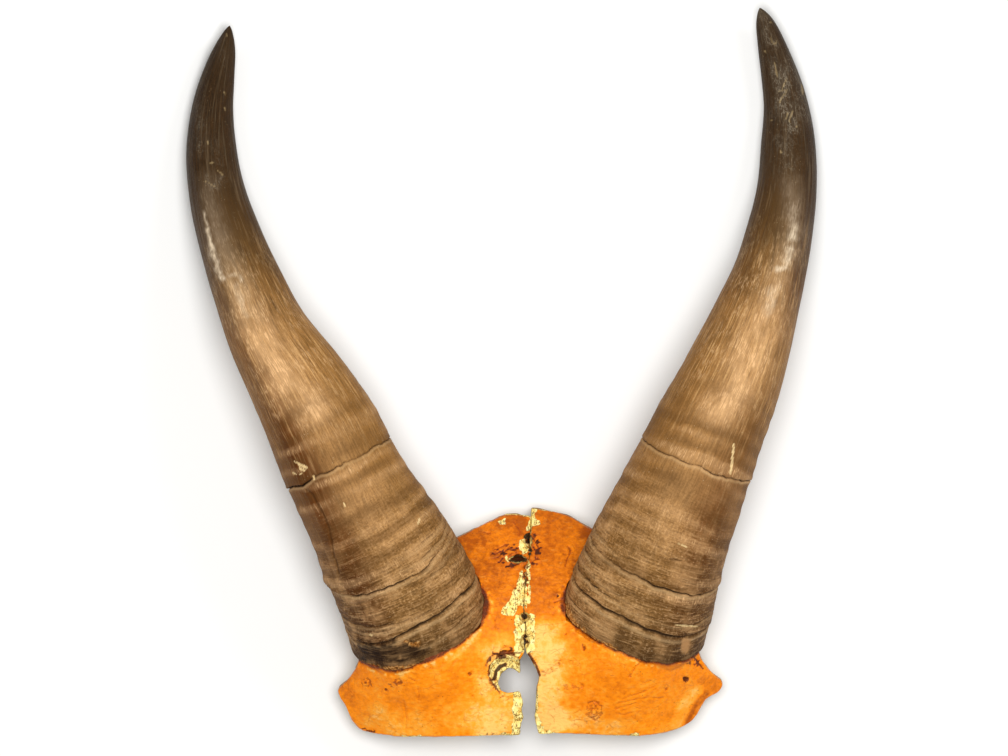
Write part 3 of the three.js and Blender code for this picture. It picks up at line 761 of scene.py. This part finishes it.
class BoneFace:
    """One half's points in millimetres, and which of them are on its face, its edges or its back."""

    def __init__(self, mesh, seed):
        self.seed = seed
        self.points = read_points(mesh) / MM - FRAME_SHIFT
        self.normals = read_normals(mesh)
        self.flat = self.points[:, :2].copy()
        height = forehead_height(self.points[:, 0], self.points[:, 1])
        below = height - self.points[:, 2]
        upward = self.normals[:, 2]
        self.outer = (1 - smoothstep(0.8, 2.2, np.abs(below))) * smoothstep(0.25, 0.6, upward)
        self.points[:, 2] += self.outer * below
        self.below = np.maximum(height - self.points[:, 2], 0)
        self.seen = smoothstep(-0.3, 0.1, upward) * (1 - smoothstep(9, 13, self.below))
        self.ragged = 0.6 * self.noise(1.7, 0) + 0.4 * self.noise(0.8, 1)
        self.near_break = 1 - smoothstep(9, 13, np.abs(self.flat[:, 0] - 1))
        self.steep = 1 - smoothstep(0.2, 0.6, upward)
        self.sawn = smoothstep(5, 9, self.below + 2 * self.noise(6, 2)) * self.steep
        self.back = 1 - smoothstep(-0.6, -0.2, upward)

    def noise(self, cell, number):
        return noise(self.points, cell, self.seed + number)


def bare_masks(face):
    """Where the paint is gone, where the bone under it has aged, and the worn lower fringe."""
    flat, ragged = face.flat, face.ragged
    bare = np.zeros(len(flat))
    for patch in BARE_PATCHES:
        bare = np.maximum(bare, smoothstep(-0.7, 0.7, inside_depth(flat, patch) + 0.9 * ragged))
    bare *= 1 - smoothstep(-0.5, 0.5, inside_depth(flat, PAINTED_SPOT) + 0.6 * ragged)
    fringe = 1 - smoothstep(0.4, 1.6, flat[:, 1] + 1.5 * face.noise((5, 3, 5), 9) + 0.6 * ragged)
    fringe *= smoothstep(-0.25, 0.35, face.noise((3.5, 3, 5), 13))
    bare = np.maximum.reduce([bare, 0.8 * fringe, face.near_break * face.steep, face.sawn, face.back])
    aged = np.maximum(face.back, face.sawn * (1 - face.near_break))
    return bare, aged, fringe


def bone_grain(face, bare, from_rim):
    """Height in millimetres, and how spongy the break is and how crusty the bone by the horn."""
    relief = 0.26 * face.noise(7, 3) + 0.16 * face.noise(2.4, 4)
    relief += 0.07 * face.noise(1.1, 5) + 0.35 * face.sawn * face.noise(4.5, 14)
    pores = pore_distance(face.points, 2.4, face.seed + 6)
    spongy = bare * face.near_break * (1 - face.back)
    sponge = (1 - smoothstep(0.3, 0.9, pores + 0.5 * face.ragged)) * spongy
    relief -= 0.7 * sponge + 0.25 * bare * face.outer
    relief += 0.35 * spongy * face.outer * face.noise(1.3, 10)
    crusty = bell(from_rim, 1.9, 1.1) * smoothstep(-0.1, 0.5, face.noise(1.3, 15)) * face.outer
    relief += 0.3 * crusty
    return relief, sponge, crusty


def mark_bone(face, relief, dark):
    """Adds the pits, marks and flecks to the height and the darkness."""
    flat, outer, ragged = face.flat, face.outer, face.ragged
    for x, y, radius, depth, shade in PITS:
        away = np.hypot(flat[:, 0] - x, flat[:, 1] - y) + 0.45 * radius * ragged
        hole = (1 - smoothstep(0.5 * radius, 1.1 * radius, away)) * outer
        lip = bell(away, 1.5 * radius, 0.5) * outer
        relief += 0.15 * lip - depth * hole
        dark = np.maximum(dark, shade * (1 - smoothstep(0.7 * radius, 1.1 * radius, away)) * face.seen)
    for course, half_width, shade in MARKS:
        away = line_distance(flat, course)
        near = 1 - smoothstep(0.3 * half_width, half_width + 0.2, away + 0.35 * ragged)
        relief += (0.12 * bell(away, half_width + 0.8, 0.5) - 0.35 * near) * outer
        dark = np.maximum(dark, shade * near * face.seen)
    flecks = smoothstep(-0.05, 0.28, face.noise((1.2, 0.8, 1.2), 18)) * outer
    for course, reach, shade in FLECKS:
        near = 1 - smoothstep(0.4 * reach, reach, line_distance(flat, course) + ragged)
        relief += 0.25 * near * outer * face.noise(1.2, 19)
        dark = np.maximum(dark, shade * near * flecks)
    return relief, dark


def break_ledge(face, relief, dark):
    """Sinks the ledge round the nerve hole, darkens its sunken hollow, crevice and edge. The ledge itself is
    bare.
    """
    flat, outer, ragged = face.flat, face.outer, face.ragged
    ledge = smoothstep(-0.5, 0.5, inside_depth(flat, LEDGE_OUTLINE) + 0.7 * ragged)
    hollow = smoothstep(-0.4, 0.4, inside_depth(flat, LEDGE_HOLLOW) + 0.8 * ragged)
    rim_line = line_distance(flat, LEDGE_OUTLINE[:LEDGE_RIM_POINTS])
    crevice = (1 - smoothstep(0.2, 0.9, np.abs(rim_line - 2.6) + 0.6 * ragged)) * ledge * outer
    relief -= (0.9 * ledge + 1.4 * hollow + 0.7 * crevice) * outer
    edge_line = (1 - smoothstep(0.1, 1, rim_line + 0.6 * ragged)) * outer
    sunk_darkness = (0.75 + 0.25 * ragged) * hollow * face.seen
    return relief, np.maximum.reduce([dark, sunk_darkness, 0.7 * crevice, 0.75 * edge_line]), ledge


def paint_tone(face, crusty):
    """How pale or brown the paint is, with painted shade on its upper part. 0.5 is its plain orange."""
    # Painted shade: the upper part slopes away from the light and is browner.
    painted_upper_shade = smoothstep(40, 66, face.flat[:, 1] + 5 * face.noise(12, 8))
    tone = 0.5 - 0.3 * painted_upper_shade + 0.5 * crusty
    for course, reach, amount in TONES:
        away = line_distance(face.flat, course) + 0.25 * reach * (face.noise(5, 7) + 0.5 * face.ragged)
        tone += amount * (1 - smoothstep(0.15 * reach, reach, away))
    return tone


def bone_half(name, node, sheath, toward_seam, seed):
    """One half of the plate, with its breaks, pits and marks, and where its paint is."""
    bone = bone_copy(name, node)
    from_rim = rim_distance(read_points(bone.data), sheath)
    face = BoneFace(bone.data, seed)
    bare, aged, fringe = bare_masks(face)
    relief, sponge, crusty = bone_grain(face, bare, from_rim)
    # Painted shade and grime along the line where the horn's rim meets the bone.
    rim_shade_and_grime = bell(from_rim, 0, 1.3 + 0.5 * face.noise(4, 16)) * face.seen
    specks = fringe * smoothstep(0.2, 0.6, face.noise(0.9, 17))
    dark = np.maximum.reduce([0.35 * sponge, (0.75 + 0.25 * face.ragged) * rim_shade_and_grime, 0.6 * specks])
    relief, dark = mark_bone(face, relief, dark)
    relief, dark, ledge = break_ledge(face, relief, dark)
    # Painted shade deep down the walls of the break.
    deep_wall_shade = face.near_break * smoothstep(3.5, 10, face.below) * (1 - face.back)

    face.points += face.normals * relief[:, None]
    from_seam = np.abs(face.flat[:, 0] - np.interp(face.flat[:, 1], *zip(*SEAM)))
    meeting = (1 - smoothstep(0.3, 1.6, from_seam)) * smoothstep(39, 42, face.flat[:, 1])
    face.points[:, 0] += toward_seam * meeting * SEAM_CLOSING * (1 + 0.6 * face.noise(2, 12))
    face.points[:, 2] = np.maximum(face.points[:, 2], 0)
    write_points(bone.data, (face.points + FRAME_SHIFT) * MM)
    paint_attributes(
        bone.data, bare=np.maximum(bare, ledge), dark=np.maximum(dark, 0.6 * deep_wall_shade), aged=aged,
        tone=paint_tone(face, crusty),
    )
    return bone


# ---------- materials ----------

# Colours are screen colours, as red, green and blue from 0 to 255.

# The horn's own colour, and the painted highlight on its polish, by the share of its length up from the rim.
HORN_COLOURS = [
    (0.0, (98, 66, 28)), (0.05, (148, 107, 57)), (0.12, (162, 118, 66)), (0.2, (184, 137, 84)),
    (0.3, (168, 123, 72)), (0.4, (176, 130, 77)), (0.5, (174, 128, 76)), (0.56, (140, 101, 56)),
    (0.63, (95, 69, 37)), (0.71, (66, 47, 25)), (0.78, (40, 27, 12)), (0.86, (27, 19, 9)),
    (1.0, (34, 26, 15)),
]
PAINTED_HIGHLIGHT_COLOURS = [
    (0.5, (240, 192, 138)), (0.58, (202, 168, 126)), (0.66, (160, 138, 112)), (0.78, (84, 66, 46)),
]
CRUST_COLOURS = [(0.38, (92, 50, 14)), (0.5, (176, 112, 44)), (0.62, (226, 172, 104))]

# What the horn's colour is multiplied by as painted shade on its outer and its inner side.
OUTER_SIDE_SHADE = (140, 100, 44)
INNER_SIDE_SHADE = (232, 222, 180)

# Tints laid over the horn's own colour, in the order in which they are laid.
HORN_TINTS = {
    "inner foot": (204, 152, 96),
    "hair": (84, 56, 24),
    "pale streak": (200, 156, 104),
    "haze": (104, 90, 70),
    "dark streak": (56, 36, 14),
    "dark strand": (66, 42, 16),
    "gold strand": (244, 196, 132),
    "grit": (84, 56, 26),
    "crumb": (220, 178, 128),
    "patch": (208, 160, 106),
    "wrinkle": (66, 42, 16),
    "fold": (210, 166, 114),
    # painted shade in the rib hollows, then painted highlight on the rib crests
    "hollow": (88, 56, 20),
    "crest": (232, 184, 130),
    "tan fleck": (236, 194, 142),
    # painted highlight
    "glint": (244, 222, 190),
    "scuff": (112, 101, 86),
    "scratch": (182, 168, 144),
    "speck": (206, 178, 136),
    "smudge": (66, 46, 24),
    "rim": (58, 36, 14),
    "edge": (222, 184, 132),
    "blotch": (30, 14, 4),
    "scar": (188, 140, 90),
    "crack": (40, 24, 10),
    # painted shade in the creases
    "crease": (64, 38, 14),
    "chip": (222, 192, 138),
}

# The paint by its tone, fresh and old bone by their mottling, and stains by how dark they are.
PAINT_COLOURS = [
    (0.0, (170, 80, 2)), (0.22, (218, 114, 2)), (0.5, (252, 142, 6)), (0.75, (255, 166, 44)),
    (1.0, (255, 198, 104)),
]
FRESH_BONE_COLOURS = [(0.34, (222, 172, 80)), (0.46, (246, 218, 124)), (0.66, (255, 242, 168))]
OLD_BONE_COLOURS = [(0.3, (128, 98, 62)), (0.5, (176, 144, 98)), (0.7, (206, 180, 134))]
STAIN_COLOURS = [(0.3, (158, 56, 12)), (0.75, (86, 32, 14)), (0.95, (44, 20, 12))]

# Tints laid over the paint, and then over fresh and old bone.
BONE_TINTS = {
    "thin stroke": (255, 184, 84),
    "thick stroke": (206, 100, 2),
    "speck": (120, 44, 8),
    "smudge": (190, 88, 6),
    "vein": (190, 94, 8),
    "fibre": (120, 80, 26),
    "pore": (84, 54, 28),
}
VEINS = [(7, 0.03, 0.5), (3.6, 0.045, 0.4)]  # each set's size, half width and strength

BUMP_DISTANCE = 0.7 * MM
HORN_SPECULAR, BONE_SPECULAR = 0.07, 0.15


def colour(red, green, blue):
    """A screen colour as the shader wants it."""
    def linear(value):
        value /= 255
        return value / 12.92 if value <= 0.04045 else ((value + 0.055) / 1.055) ** 2.4
    return (linear(red), linear(green), linear(blue), 1)


class Shader:
    """Adds nodes to a shader tree. Inputs may be values or other nodes' outputs."""

    def __init__(self, tree):
        self.tree = tree

    def feed(self, socket, value):
        if isinstance(value, bpy.types.NodeSocket):
            self.tree.links.new(value, socket)
        else:
            socket.default_value = value

    def add(self, kind, inputs=None, **settings):
        node = self.tree.nodes.new("ShaderNode" + kind)
        for key, value in settings.items():
            setattr(node, key, value)
        for key, value in (inputs or {}).items():
            self.feed(node.inputs[key], value)
        return node

    def attribute(self, name, output="Fac"):
        return self.add("Attribute", attribute_name=name).outputs[output]

    def math(self, operation, first, second=0.0):
        return self.add("Math", {0: first, 1: second}, operation=operation).outputs[0]

    def times(self, *factors):
        return reduce(partial(self.math, "MULTIPLY"), factors)

    def plus(self, *terms):
        return reduce(partial(self.math, "ADD"), terms)

    def away_from(self, value, middle):
        return self.math("ABSOLUTE", self.math("SUBTRACT", value, middle))

    def remap(self, value, low, high, to_low=0.0, to_high=1.0):
        """Runs from to_low to to_high as the value goes from low to high, and stays there beyond."""
        inputs = {"Value": value, "From Min": low, "From Max": high, "To Min": to_low, "To Max": to_high}
        return self.add("MapRange", inputs).outputs[0]

    def mix(self, factor, first, second, blend="MIX"):
        node = self.add("Mix", data_type="RGBA", blend_type=blend)
        for socket, value in ((0, factor), (6, first), (7, second)):
            self.feed(node.inputs[socket], value)
        return node.outputs[2]

    def lay(self, base, tints, masks):
        """Lays named tints over a colour one after another, each as strongly as its mask says."""
        for name, mask in masks.items():
            base = self.mix(mask, base, colour(*tints[name]))
        return base

    def stretched_noise(self, vector, cell, detail=3.0, roughness=0.55):
        """Noise whose features are cell across: three sizes in the vector's own units."""
        scale = tuple(1 / size for size in cell)
        mapped = self.add("Mapping", {"Vector": vector, "Scale": scale}).outputs[0]
        inputs = {"Vector": mapped, "Scale": 1.0, "Detail": detail, "Roughness": roughness}
        return self.add("TexNoise", inputs).outputs[0]

    def ramp(self, value, stops):
        node = self.add("ValToRGB", {"Fac": value})
        elements = node.color_ramp.elements
        while len(elements) < len(stops):
            elements.new(0.5)
        for element, (position, shade) in zip(elements, stops):
            element.position = position
            element.color = colour(*shade)
        return node.outputs[0]


def new_material(name):
    material = bpy.data.materials.new(name)
    material.use_nodes = True
    tree = material.node_tree
    tree.nodes.clear()
    shader = Shader(tree)
    surface = shader.add("BsdfPrincipled")
    output = shader.add("OutputMaterial")
    tree.links.new(surface.outputs[0], output.inputs[0])
    return material, shader, surface


def finish_surface(shader, surface, base, rough, height, bump, specular):
    relief = shader.add("Bump", {"Height": height, "Strength": bump, "Distance": BUMP_DISTANCE})
    surface.inputs["Specular IOR Level"].default_value = specular
    for name, value in (("Base Color", base), ("Roughness", rough), ("Normal", relief.outputs[0])):
        shader.feed(surface.inputs[name], value)


def grime_group():
    """Makes the specks and smudges that the horn and the bone both carry."""
    group = bpy.data.node_groups.new("grime", "ShaderNodeTree")
    for name, way, kind in (
        ("Vector", "INPUT", "Vector"),
        ("Frequency", "INPUT", "Float"),
        ("Specks", "OUTPUT", "Float"),
        ("Smudges", "OUTPUT", "Float"),
    ):
        group.interface.new_socket(name, in_out=way, socket_type="NodeSocket" + kind)
    shader = Shader(group)
    source = group.nodes.new("NodeGroupInput")
    result = group.nodes.new("NodeGroupOutput")
    vector, frequency = source.outputs[0], source.outputs[1]
    cells = shader.add("TexVoronoi", {"Vector": vector, "Scale": frequency, "Randomness": 1.0})
    gate_scale, broad_scale = shader.times(frequency, 0.21), shader.times(frequency, 0.09)
    gate = shader.add("TexNoise", {"Vector": vector, "Scale": gate_scale, "Detail": 2.0})
    broad = shader.add("TexNoise", {"Vector": vector, "Scale": broad_scale, "Detail": 4.0})
    spot = shader.remap(cells.outputs["Distance"], 0.16, 0.07)
    shader.feed(result.inputs[0], shader.times(spot, shader.remap(gate.outputs[0], 0.5, 0.62)))
    shader.feed(result.inputs[1], shader.remap(broad.outputs[0], 0.42, 0.68))


def place_grime(shader, vector, frequency):
    node = shader.tree.nodes.new("ShaderNodeGroup")
    node.node_tree = bpy.data.node_groups["grime"]
    shader.feed(node.inputs[0], vector)
    shader.feed(node.inputs[1], frequency)
    return node.outputs["Specks"], node.outputs["Smudges"]


# ---------- horn keratin ----------

class HornPattern:
    """The noises and masks that several of the horn's layers share."""

    def __init__(self, shader):
        self.grain = shader.attribute("grain", "Vector")
        self.along = shader.add("SeparateXYZ", {0: self.grain}).outputs[2]
        self.fine = shader.stretched_noise(self.grain, (0.45, 0.45, 6), 5.0, 0.65)
        self.streak = shader.stretched_noise(self.grain, (1.7, 1.7, 22))
        self.mottle = shader.stretched_noise(self.grain, (7, 7, 12))
        self.dash = shader.stretched_noise(self.grain, (0.42, 0.42, 3.4), 2.0)
        self.grit = shader.stretched_noise(self.grain, (0.7, 0.7, 0.9), 4.0, 0.65)
        self.cross = shader.stretched_noise(self.grain, (5, 5, 0.7), 4.0, 0.6)
        cluster = shader.remap(shader.stretched_noise(self.grain, (3.4, 3.4, 5), 2.0), 0.42, 0.56, 0.15, 1)
        self.pale_line = shader.times(shader.remap(self.dash, 0.5, 0.62), cluster)
        self.inner = shader.attribute("inner")
        # Gloss and painted highlight along the polished ridge.
        self.sheen = shader.attribute("sheen")
        self.foot = shader.remap(self.along, 80, 30)


def horn_ground(shader, horn, length):
    """The horn's own colour along its length, and painted shade on its sides."""
    remap, times = shader.remap, shader.times
    stray = times(remap(horn.streak, 0.3, 0.7, -13, 13), remap(horn.along, 30, 90))
    shifted = shader.plus(horn.along, stray, remap(horn.mottle, 0.3, 0.7, -7, 7))
    base = shader.ramp(shader.math("DIVIDE", shifted, length), HORN_COLOURS)
    outer = times(shader.attribute("side"), 0.85)
    base = shader.mix(outer, base, colour(*OUTER_SIDE_SHADE), "MULTIPLY")
    base = shader.mix(times(horn.inner, 0.6), base, colour(*INNER_SIDE_SHADE), "MULTIPLY")
    inner_foot = times(horn.inner, remap(horn.along, 55, 15, 0, 0.4))
    return shader.lay(base, HORN_TINTS, {"inner foot": inner_foot})


def horn_fibres(shader, horn, base):
    """Hairs, streaks and strands that run along the horn."""
    remap, times = shader.remap, shader.times
    along, streak = horn.along, horn.streak
    strand = shader.stretched_noise(horn.grain, (0.8, 0.8, 14))
    golden = times(remap(along, 200, 160), remap(along, 70, 120))
    return shader.lay(base, HORN_TINTS, {
        "hair": times(remap(horn.fine, 0.34, 0.58, 0.5, 0), remap(horn.foot, 0, 1, 1, 0.4)),
        "pale streak": times(remap(streak, 0.56, 0.7, 0, 0.25), remap(along, 200, 245, 1, 0.25)),
        "haze": times(remap(streak, 0.5, 0.68, 0, 0.4), remap(along, 190, 225)),
        "dark streak": times(remap(streak, 0.45, 0.33, 0, 0.45), remap(along, 110, 160)),
        "dark strand": times(remap(strand, 0.45, 0.34, 0, 0.55), remap(along, 95, 150)),
        "gold strand": times(remap(strand, 0.54, 0.66, 0, 0.35), golden),
    })


def horn_foot(shader, horn, base):
    """Grit, wrinkles and folds on the oldest horn, near the rim."""
    remap, times = shader.remap, shader.times
    foot = horn.foot
    return shader.lay(base, HORN_TINTS, {
        "grit": times(remap(horn.grit, 0.38, 0.56, 1, 0), remap(foot, 0, 1, 0.25, 0.6)),
        "crumb": times(remap(horn.grit, 0.55, 0.68, 0, 0.5), foot),
        "patch": times(remap(horn.mottle, 0.48, 0.62, 0, 0.45), foot),
        "wrinkle": times(remap(horn.cross, 0.48, 0.36, 0, 0.55), foot),
        "fold": times(remap(horn.cross, 0.53, 0.66, 0, 0.45), foot),
    })


def horn_ribs(shader, horn, base):
    """Painted shade in rib hollows, painted highlight on rib crests, and tan flecks on the golden horn above.
    """
    remap, times = shader.remap, shader.times
    crest = shader.attribute("crest")
    ribbed = remap(horn.along, 126, 98)
    golden = times(remap(horn.along, 90, 130), remap(horn.along, 205, 170))
    lined = remap(horn.pale_line, 0, 1, 0.18, 0.75)
    return shader.lay(base, HORN_TINTS, {
        "hollow": times(remap(crest, 0.05, -0.55, 0, 0.45), remap(ribbed, 0, 1, 0.12, 1)),
        "crest": times(remap(crest, 0.1, 0.7), ribbed, lined),
        "tan fleck": times(golden, horn.pale_line, remap(horn.mottle, 0.42, 0.58), 0.45),
    })


def horn_polish_and_highlight(shader, horn, base, length):
    """The polished ridge, paler with painted highlight, and the painted glints on it."""
    remap, times = shader.remap, shader.times
    glow = times(horn.sheen, remap(horn.mottle, 0.35, 0.55, 0.35, 1))
    flecked = times(glow, remap(horn.pale_line, 0, 1, 0.45, 0.95))
    polish_and_highlight = shader.ramp(shader.math("DIVIDE", horn.along, length), PAINTED_HIGHLIGHT_COLOURS)
    base = shader.mix(flecked, base, polish_and_highlight)
    glint = times(shader.attribute("glint"), remap(horn.dash, 0.35, 0.65, 0.55, 1.25))
    return shader.lay(base, HORN_TINTS, {"glint": remap(glint, 0.1, 0.9, 0, 0.85)})


def horn_wear(shader, horn, base):
    """Scuffs, grime, stains and crust, then cracks, creases and chips over them."""
    remap, times = shader.remap, shader.times
    scuff = shader.attribute("scuff")
    weave = shader.stretched_noise(horn.grain, (3, 3, 3.4), 3.0, 0.6)
    scratch = remap(shader.away_from(weave, 0.5), 0.035, 0.008)
    specks, smudges = place_grime(shader, horn.grain, 0.55)
    patchy_rim = times(remap(horn.cross, 0.35, 0.6, 0.25, 1), remap(horn.inner, 0, 1, 0.65, 0.3))
    base = shader.lay(base, HORN_TINTS, {
        "scuff": times(scuff, remap(horn.fine, 0.36, 0.6, 0.05, 0.4)),
        "scratch": times(scuff, scratch, 0.42),
        "speck": times(specks, 0.4),
        "smudge": times(smudges, 0.22),
        "rim": times(shader.attribute("rim"), patchy_rim),
        "edge": times(shader.attribute("edge"), 0.35),
        "blotch": times(shader.attribute("blotch"), remap(horn.cross, 0.36, 0.62, 0.97, 0.7)),
        "scar": times(shader.attribute("scar"), 0.85),
    })
    crust = shader.ramp(horn.grit, CRUST_COLOURS)
    base = shader.mix(times(shader.attribute("crust"), 0.85), base, crust)
    chip = shader.plus(shader.attribute("chip"), remap(horn.dash, 0.35, 0.65, -0.15, 0.15))
    faded = times(remap(horn.along, 190, 215, 1, 0.38), remap(horn.fine, 0.4, 0.58, 0.1, 1))
    faded = shader.math("MAXIMUM", faded, remap(horn.along, 200, 180))
    return shader.lay(base, HORN_TINTS, {
        "crack": remap(shader.attribute("crack"), 0.2, 0.75, 0, 0.92),
        "crease": remap(shader.attribute("crease"), 0.2, 0.9, 0, 0.6),
        "chip": times(remap(chip, 0.35, 0.95), faded),
    })


def horn_material(length):
    material, shader, surface = new_material("horn keratin")
    remap, times = shader.remap, shader.times
    horn = HornPattern(shader)
    base = horn_ground(shader, horn, length)
    base = horn_fibres(shader, horn, base)
    base = horn_foot(shader, horn, base)
    base = horn_ribs(shader, horn, base)
    base = horn_polish_and_highlight(shader, horn, base, length)
    base = horn_wear(shader, horn, base)
    rough = shader.plus(
        remap(horn.along, 60, 230, 0.6, 0.42),
        remap(horn.fine, 0.3, 0.7, -0.05, 0.07),
        times(horn.sheen, -0.1),
    )
    height = shader.plus(
        times(horn.fine, 0.6),
        times(horn.grit, remap(horn.foot, 0, 1, 0.3, 1)),
        times(horn.streak, 0.4),
        times(horn.cross, remap(horn.foot, 0, 1, 0.3, 1.3)),
    )
    finish_surface(shader, surface, base, rough, height, 0.8, HORN_SPECULAR)
    return material


# ---------- painted bone ----------

class BonePattern:
    """The noises that the paint and the bare bone share, by place in millimetres."""

    def __init__(self, shader):
        place = shader.add("TexCoord").outputs["Object"]
        self.place = shader.add("Mapping", {"Vector": place, "Scale": (1 / MM,) * 3}).outputs[0]
        self.patchy = shader.stretched_noise(self.place, (8, 8, 8), 4.0)
        self.mottle = shader.stretched_noise(self.place, (2.2, 2.2, 2.2), 4.0, 0.65)
        self.grit = shader.stretched_noise(self.place, (0.6, 0.6, 0.6))
        self.brush = shader.stretched_noise(self.place, (3, 1, 3))


def orange_paint(shader, bone):
    """The paint's colour, and the veins in it."""
    remap, times = shader.remap, shader.times
    tone = shader.plus(
        shader.attribute("tone"),
        remap(bone.patchy, 0.3, 0.7, -0.15, 0.15),
        remap(bone.mottle, 0.3, 0.7, -0.17, 0.17),
    )
    specks, smudges = place_grime(shader, bone.place, 0.4)
    paint = shader.lay(shader.ramp(tone, PAINT_COLOURS), BONE_TINTS, {
        "thin stroke": remap(bone.brush, 0.58, 0.7, 0, 0.2),
        "thick stroke": remap(bone.brush, 0.42, 0.3, 0, 0.35),
        "speck": times(specks, 0.7),
        "smudge": times(smudges, 0.25),
    })
    veins = 0.0
    for size, half_width, strength in VEINS:
        wander = shader.stretched_noise(bone.place, (size, 0.6 * size, size), detail=0.6)
        vein = remap(shader.away_from(wander, 0.5), half_width, 0.0)
        vein = times(shader.math("POWER", vein, 1.6), remap(bone.patchy, 0.48, 0.6))
        paint = shader.lay(paint, BONE_TINTS, {"vein": times(vein, strength)})
        veins = shader.plus(veins, vein)
    return paint, veins


def bare_bone(shader, bone):
    """Bone without paint: pale and fibrous at the break, brown and pored where it is older."""
    remap, times = shader.remap, shader.times
    fibre = shader.stretched_noise(bone.place, (1.8, 3, 2), 2.0)
    fibre = remap(shader.away_from(fibre, 0.45), 0.06, 0.015)
    fibre = times(fibre, remap(bone.grit, 0.36, 0.54, 0.25, 0.95))
    fresh = shader.lay(shader.ramp(bone.mottle, FRESH_BONE_COLOURS), BONE_TINTS, {"fibre": fibre})
    pore = shader.add("TexVoronoi", {"Vector": bone.place, "Scale": 0.62}).outputs["Distance"]
    pore = remap(pore, 0.3, 0.14, 0, 0.6)
    old = shader.lay(shader.ramp(bone.patchy, OLD_BONE_COLOURS), BONE_TINTS, {"pore": pore})
    return shader.mix(shader.attribute("aged"), fresh, old)


def bone_material():
    material, shader, surface = new_material("painted bone")
    remap, times = shader.remap, shader.times
    bone = BonePattern(shader)
    paint, veins = orange_paint(shader, bone)
    worn = shader.plus(shader.attribute("bare"), remap(bone.mottle, 0.3, 0.7, -0.3, 0.3))
    worn = remap(worn, 0.44, 0.56)
    base = shader.mix(worn, paint, bare_bone(shader, bone))
    dark = shader.plus(shader.attribute("dark"), remap(bone.grit, 0.3, 0.7, -0.1, 0.1))
    base = shader.mix(remap(dark, 0.2, 0.7, 0, 0.94), base, shader.ramp(dark, STAIN_COLOURS))
    rough = shader.plus(remap(bone.mottle, 0.3, 0.7, 0.42, 0.6), times(worn, 0.28))
    height = shader.plus(
        times(bone.mottle, 0.7),
        times(bone.grit, 0.25),
        times(bone.brush, 0.4),
        times(veins, -0.2),
        times(worn, -0.3),
    )
    finish_surface(shader, surface, base, rough, height, 0.7, BONE_SPECULAR)
    return material


# ---------- floor, light and camera ----------

FLOOR_SIZE = 12
FLOOR_COLOUR = (0.86, 0.86, 0.85, 1)
FLOOR_ROUGHNESS = 0.9
ROOM_COLOUR = (1, 0.97, 0.92, 1)
ROOM_BRIGHTNESS = 0.24

LENS = 400
SENSOR = 36
VIEW_WIDTH = 0.4536  # what the picture takes in, at the height of FOCUS
FOCUS = (0.00124, -0.00316, 0.035)
SIGHT = 20  # how far the camera sees


def floor_material():
    material, _, surface = new_material("pale floor")
    surface.inputs["Base Color"].default_value = FLOOR_COLOUR
    surface.inputs["Roughness"].default_value = FLOOR_ROUGHNESS
    return material


def lay_floor():
    bpy.ops.object.select_all(action="DESELECT")
    bpy.ops.mesh.primitive_plane_add(size=FLOOR_SIZE, location=(0, 0, 0))
    floor = bpy.context.object
    floor.name = "floor"
    floor.data.materials.append(floor_material())


def area_light(name, place, size, power, aim=(0, 0, 0.03)):
    light = bpy.data.lights.new(name, "AREA")
    light.shape = "DISK"
    light.size = size
    light.energy = power
    holder = bpy.data.objects.new(name, light)
    bpy.context.scene.collection.objects.link(holder)
    holder.location = place
    way = np.subtract(aim, place)
    holder.rotation_mode = "QUATERNION"
    holder.rotation_quaternion = Vector(way).to_track_quat("-Z", "Y")


def light_scene():
    world = bpy.data.worlds.new("studio")
    world.use_nodes = True
    background = world.node_tree.nodes["Background"]
    background.inputs["Color"].default_value = ROOM_COLOUR
    background.inputs["Strength"].default_value = ROOM_BRIGHTNESS
    bpy.context.scene.world = world
    area_light("key", (0.06, -0.06, 1.5), 0.7, 21)
    area_light("fill left", (-0.9, 0.6, 1.1), 0.6, 2.5)
    area_light("fill right", (0.9, 0.6, 1.1), 0.6, 4.5)


def place_camera():
    camera = bpy.data.objects.new("camera", bpy.data.cameras.new("camera"))
    bpy.context.scene.collection.objects.link(camera)
    camera.data.lens = LENS
    camera.data.sensor_width = SENSOR
    camera.data.clip_end = SIGHT
    camera.location = (FOCUS[0], FOCUS[1], FOCUS[2] + VIEW_WIDTH * LENS / SENSOR)
    bpy.context.scene.camera = camera


# ---------- assembly ----------

left = horn_sheath("sheath_left", LEFT_STATIONS, LEFT_CRACKS, LEFT_RIM_DROP, LEFT_SIDE_SHADE, 11)
right = horn_sheath("sheath_right", RIGHT_STATIONS, RIGHT_CRACKS, RIGHT_RIM_DROP, RIGHT_SIDE_SHADE, 211)
wear_horn(left, LEFT_CHIPS, LEFT_CREASES, LEFT_PAINTED_GLINTS, LEFT_POLISH_AND_HIGHLIGHT, LEFT_SCUFFS, 711)
wear_horn(right, RIGHT_CHIPS, RIGHT_CREASES, RIGHT_PAINTED_GLINTS, RIGHT_POLISH_AND_HIGHLIGHT, RIGHT_SCUFFS, 731)
bone_left = bone_half("bone_left", "skull_plate_left", left, 1, 411)
bone_right = bone_half("bone_right", "skull_plate_right", right, -1, 611)

grime_group()
keratin = horn_material(HornLine(LEFT_STATIONS).length)
painted = bone_material()
finish_piece(left, "horn_left", keratin)
finish_piece(right, "horn_right", keratin)
finish_piece(bone_left, "skull_plate_left", painted)
finish_piece(bone_right, "skull_plate_right", painted)

lay_floor()
light_scene()
place_camera()
bpy.context.scene.view_settings.view_transform = "Standard"
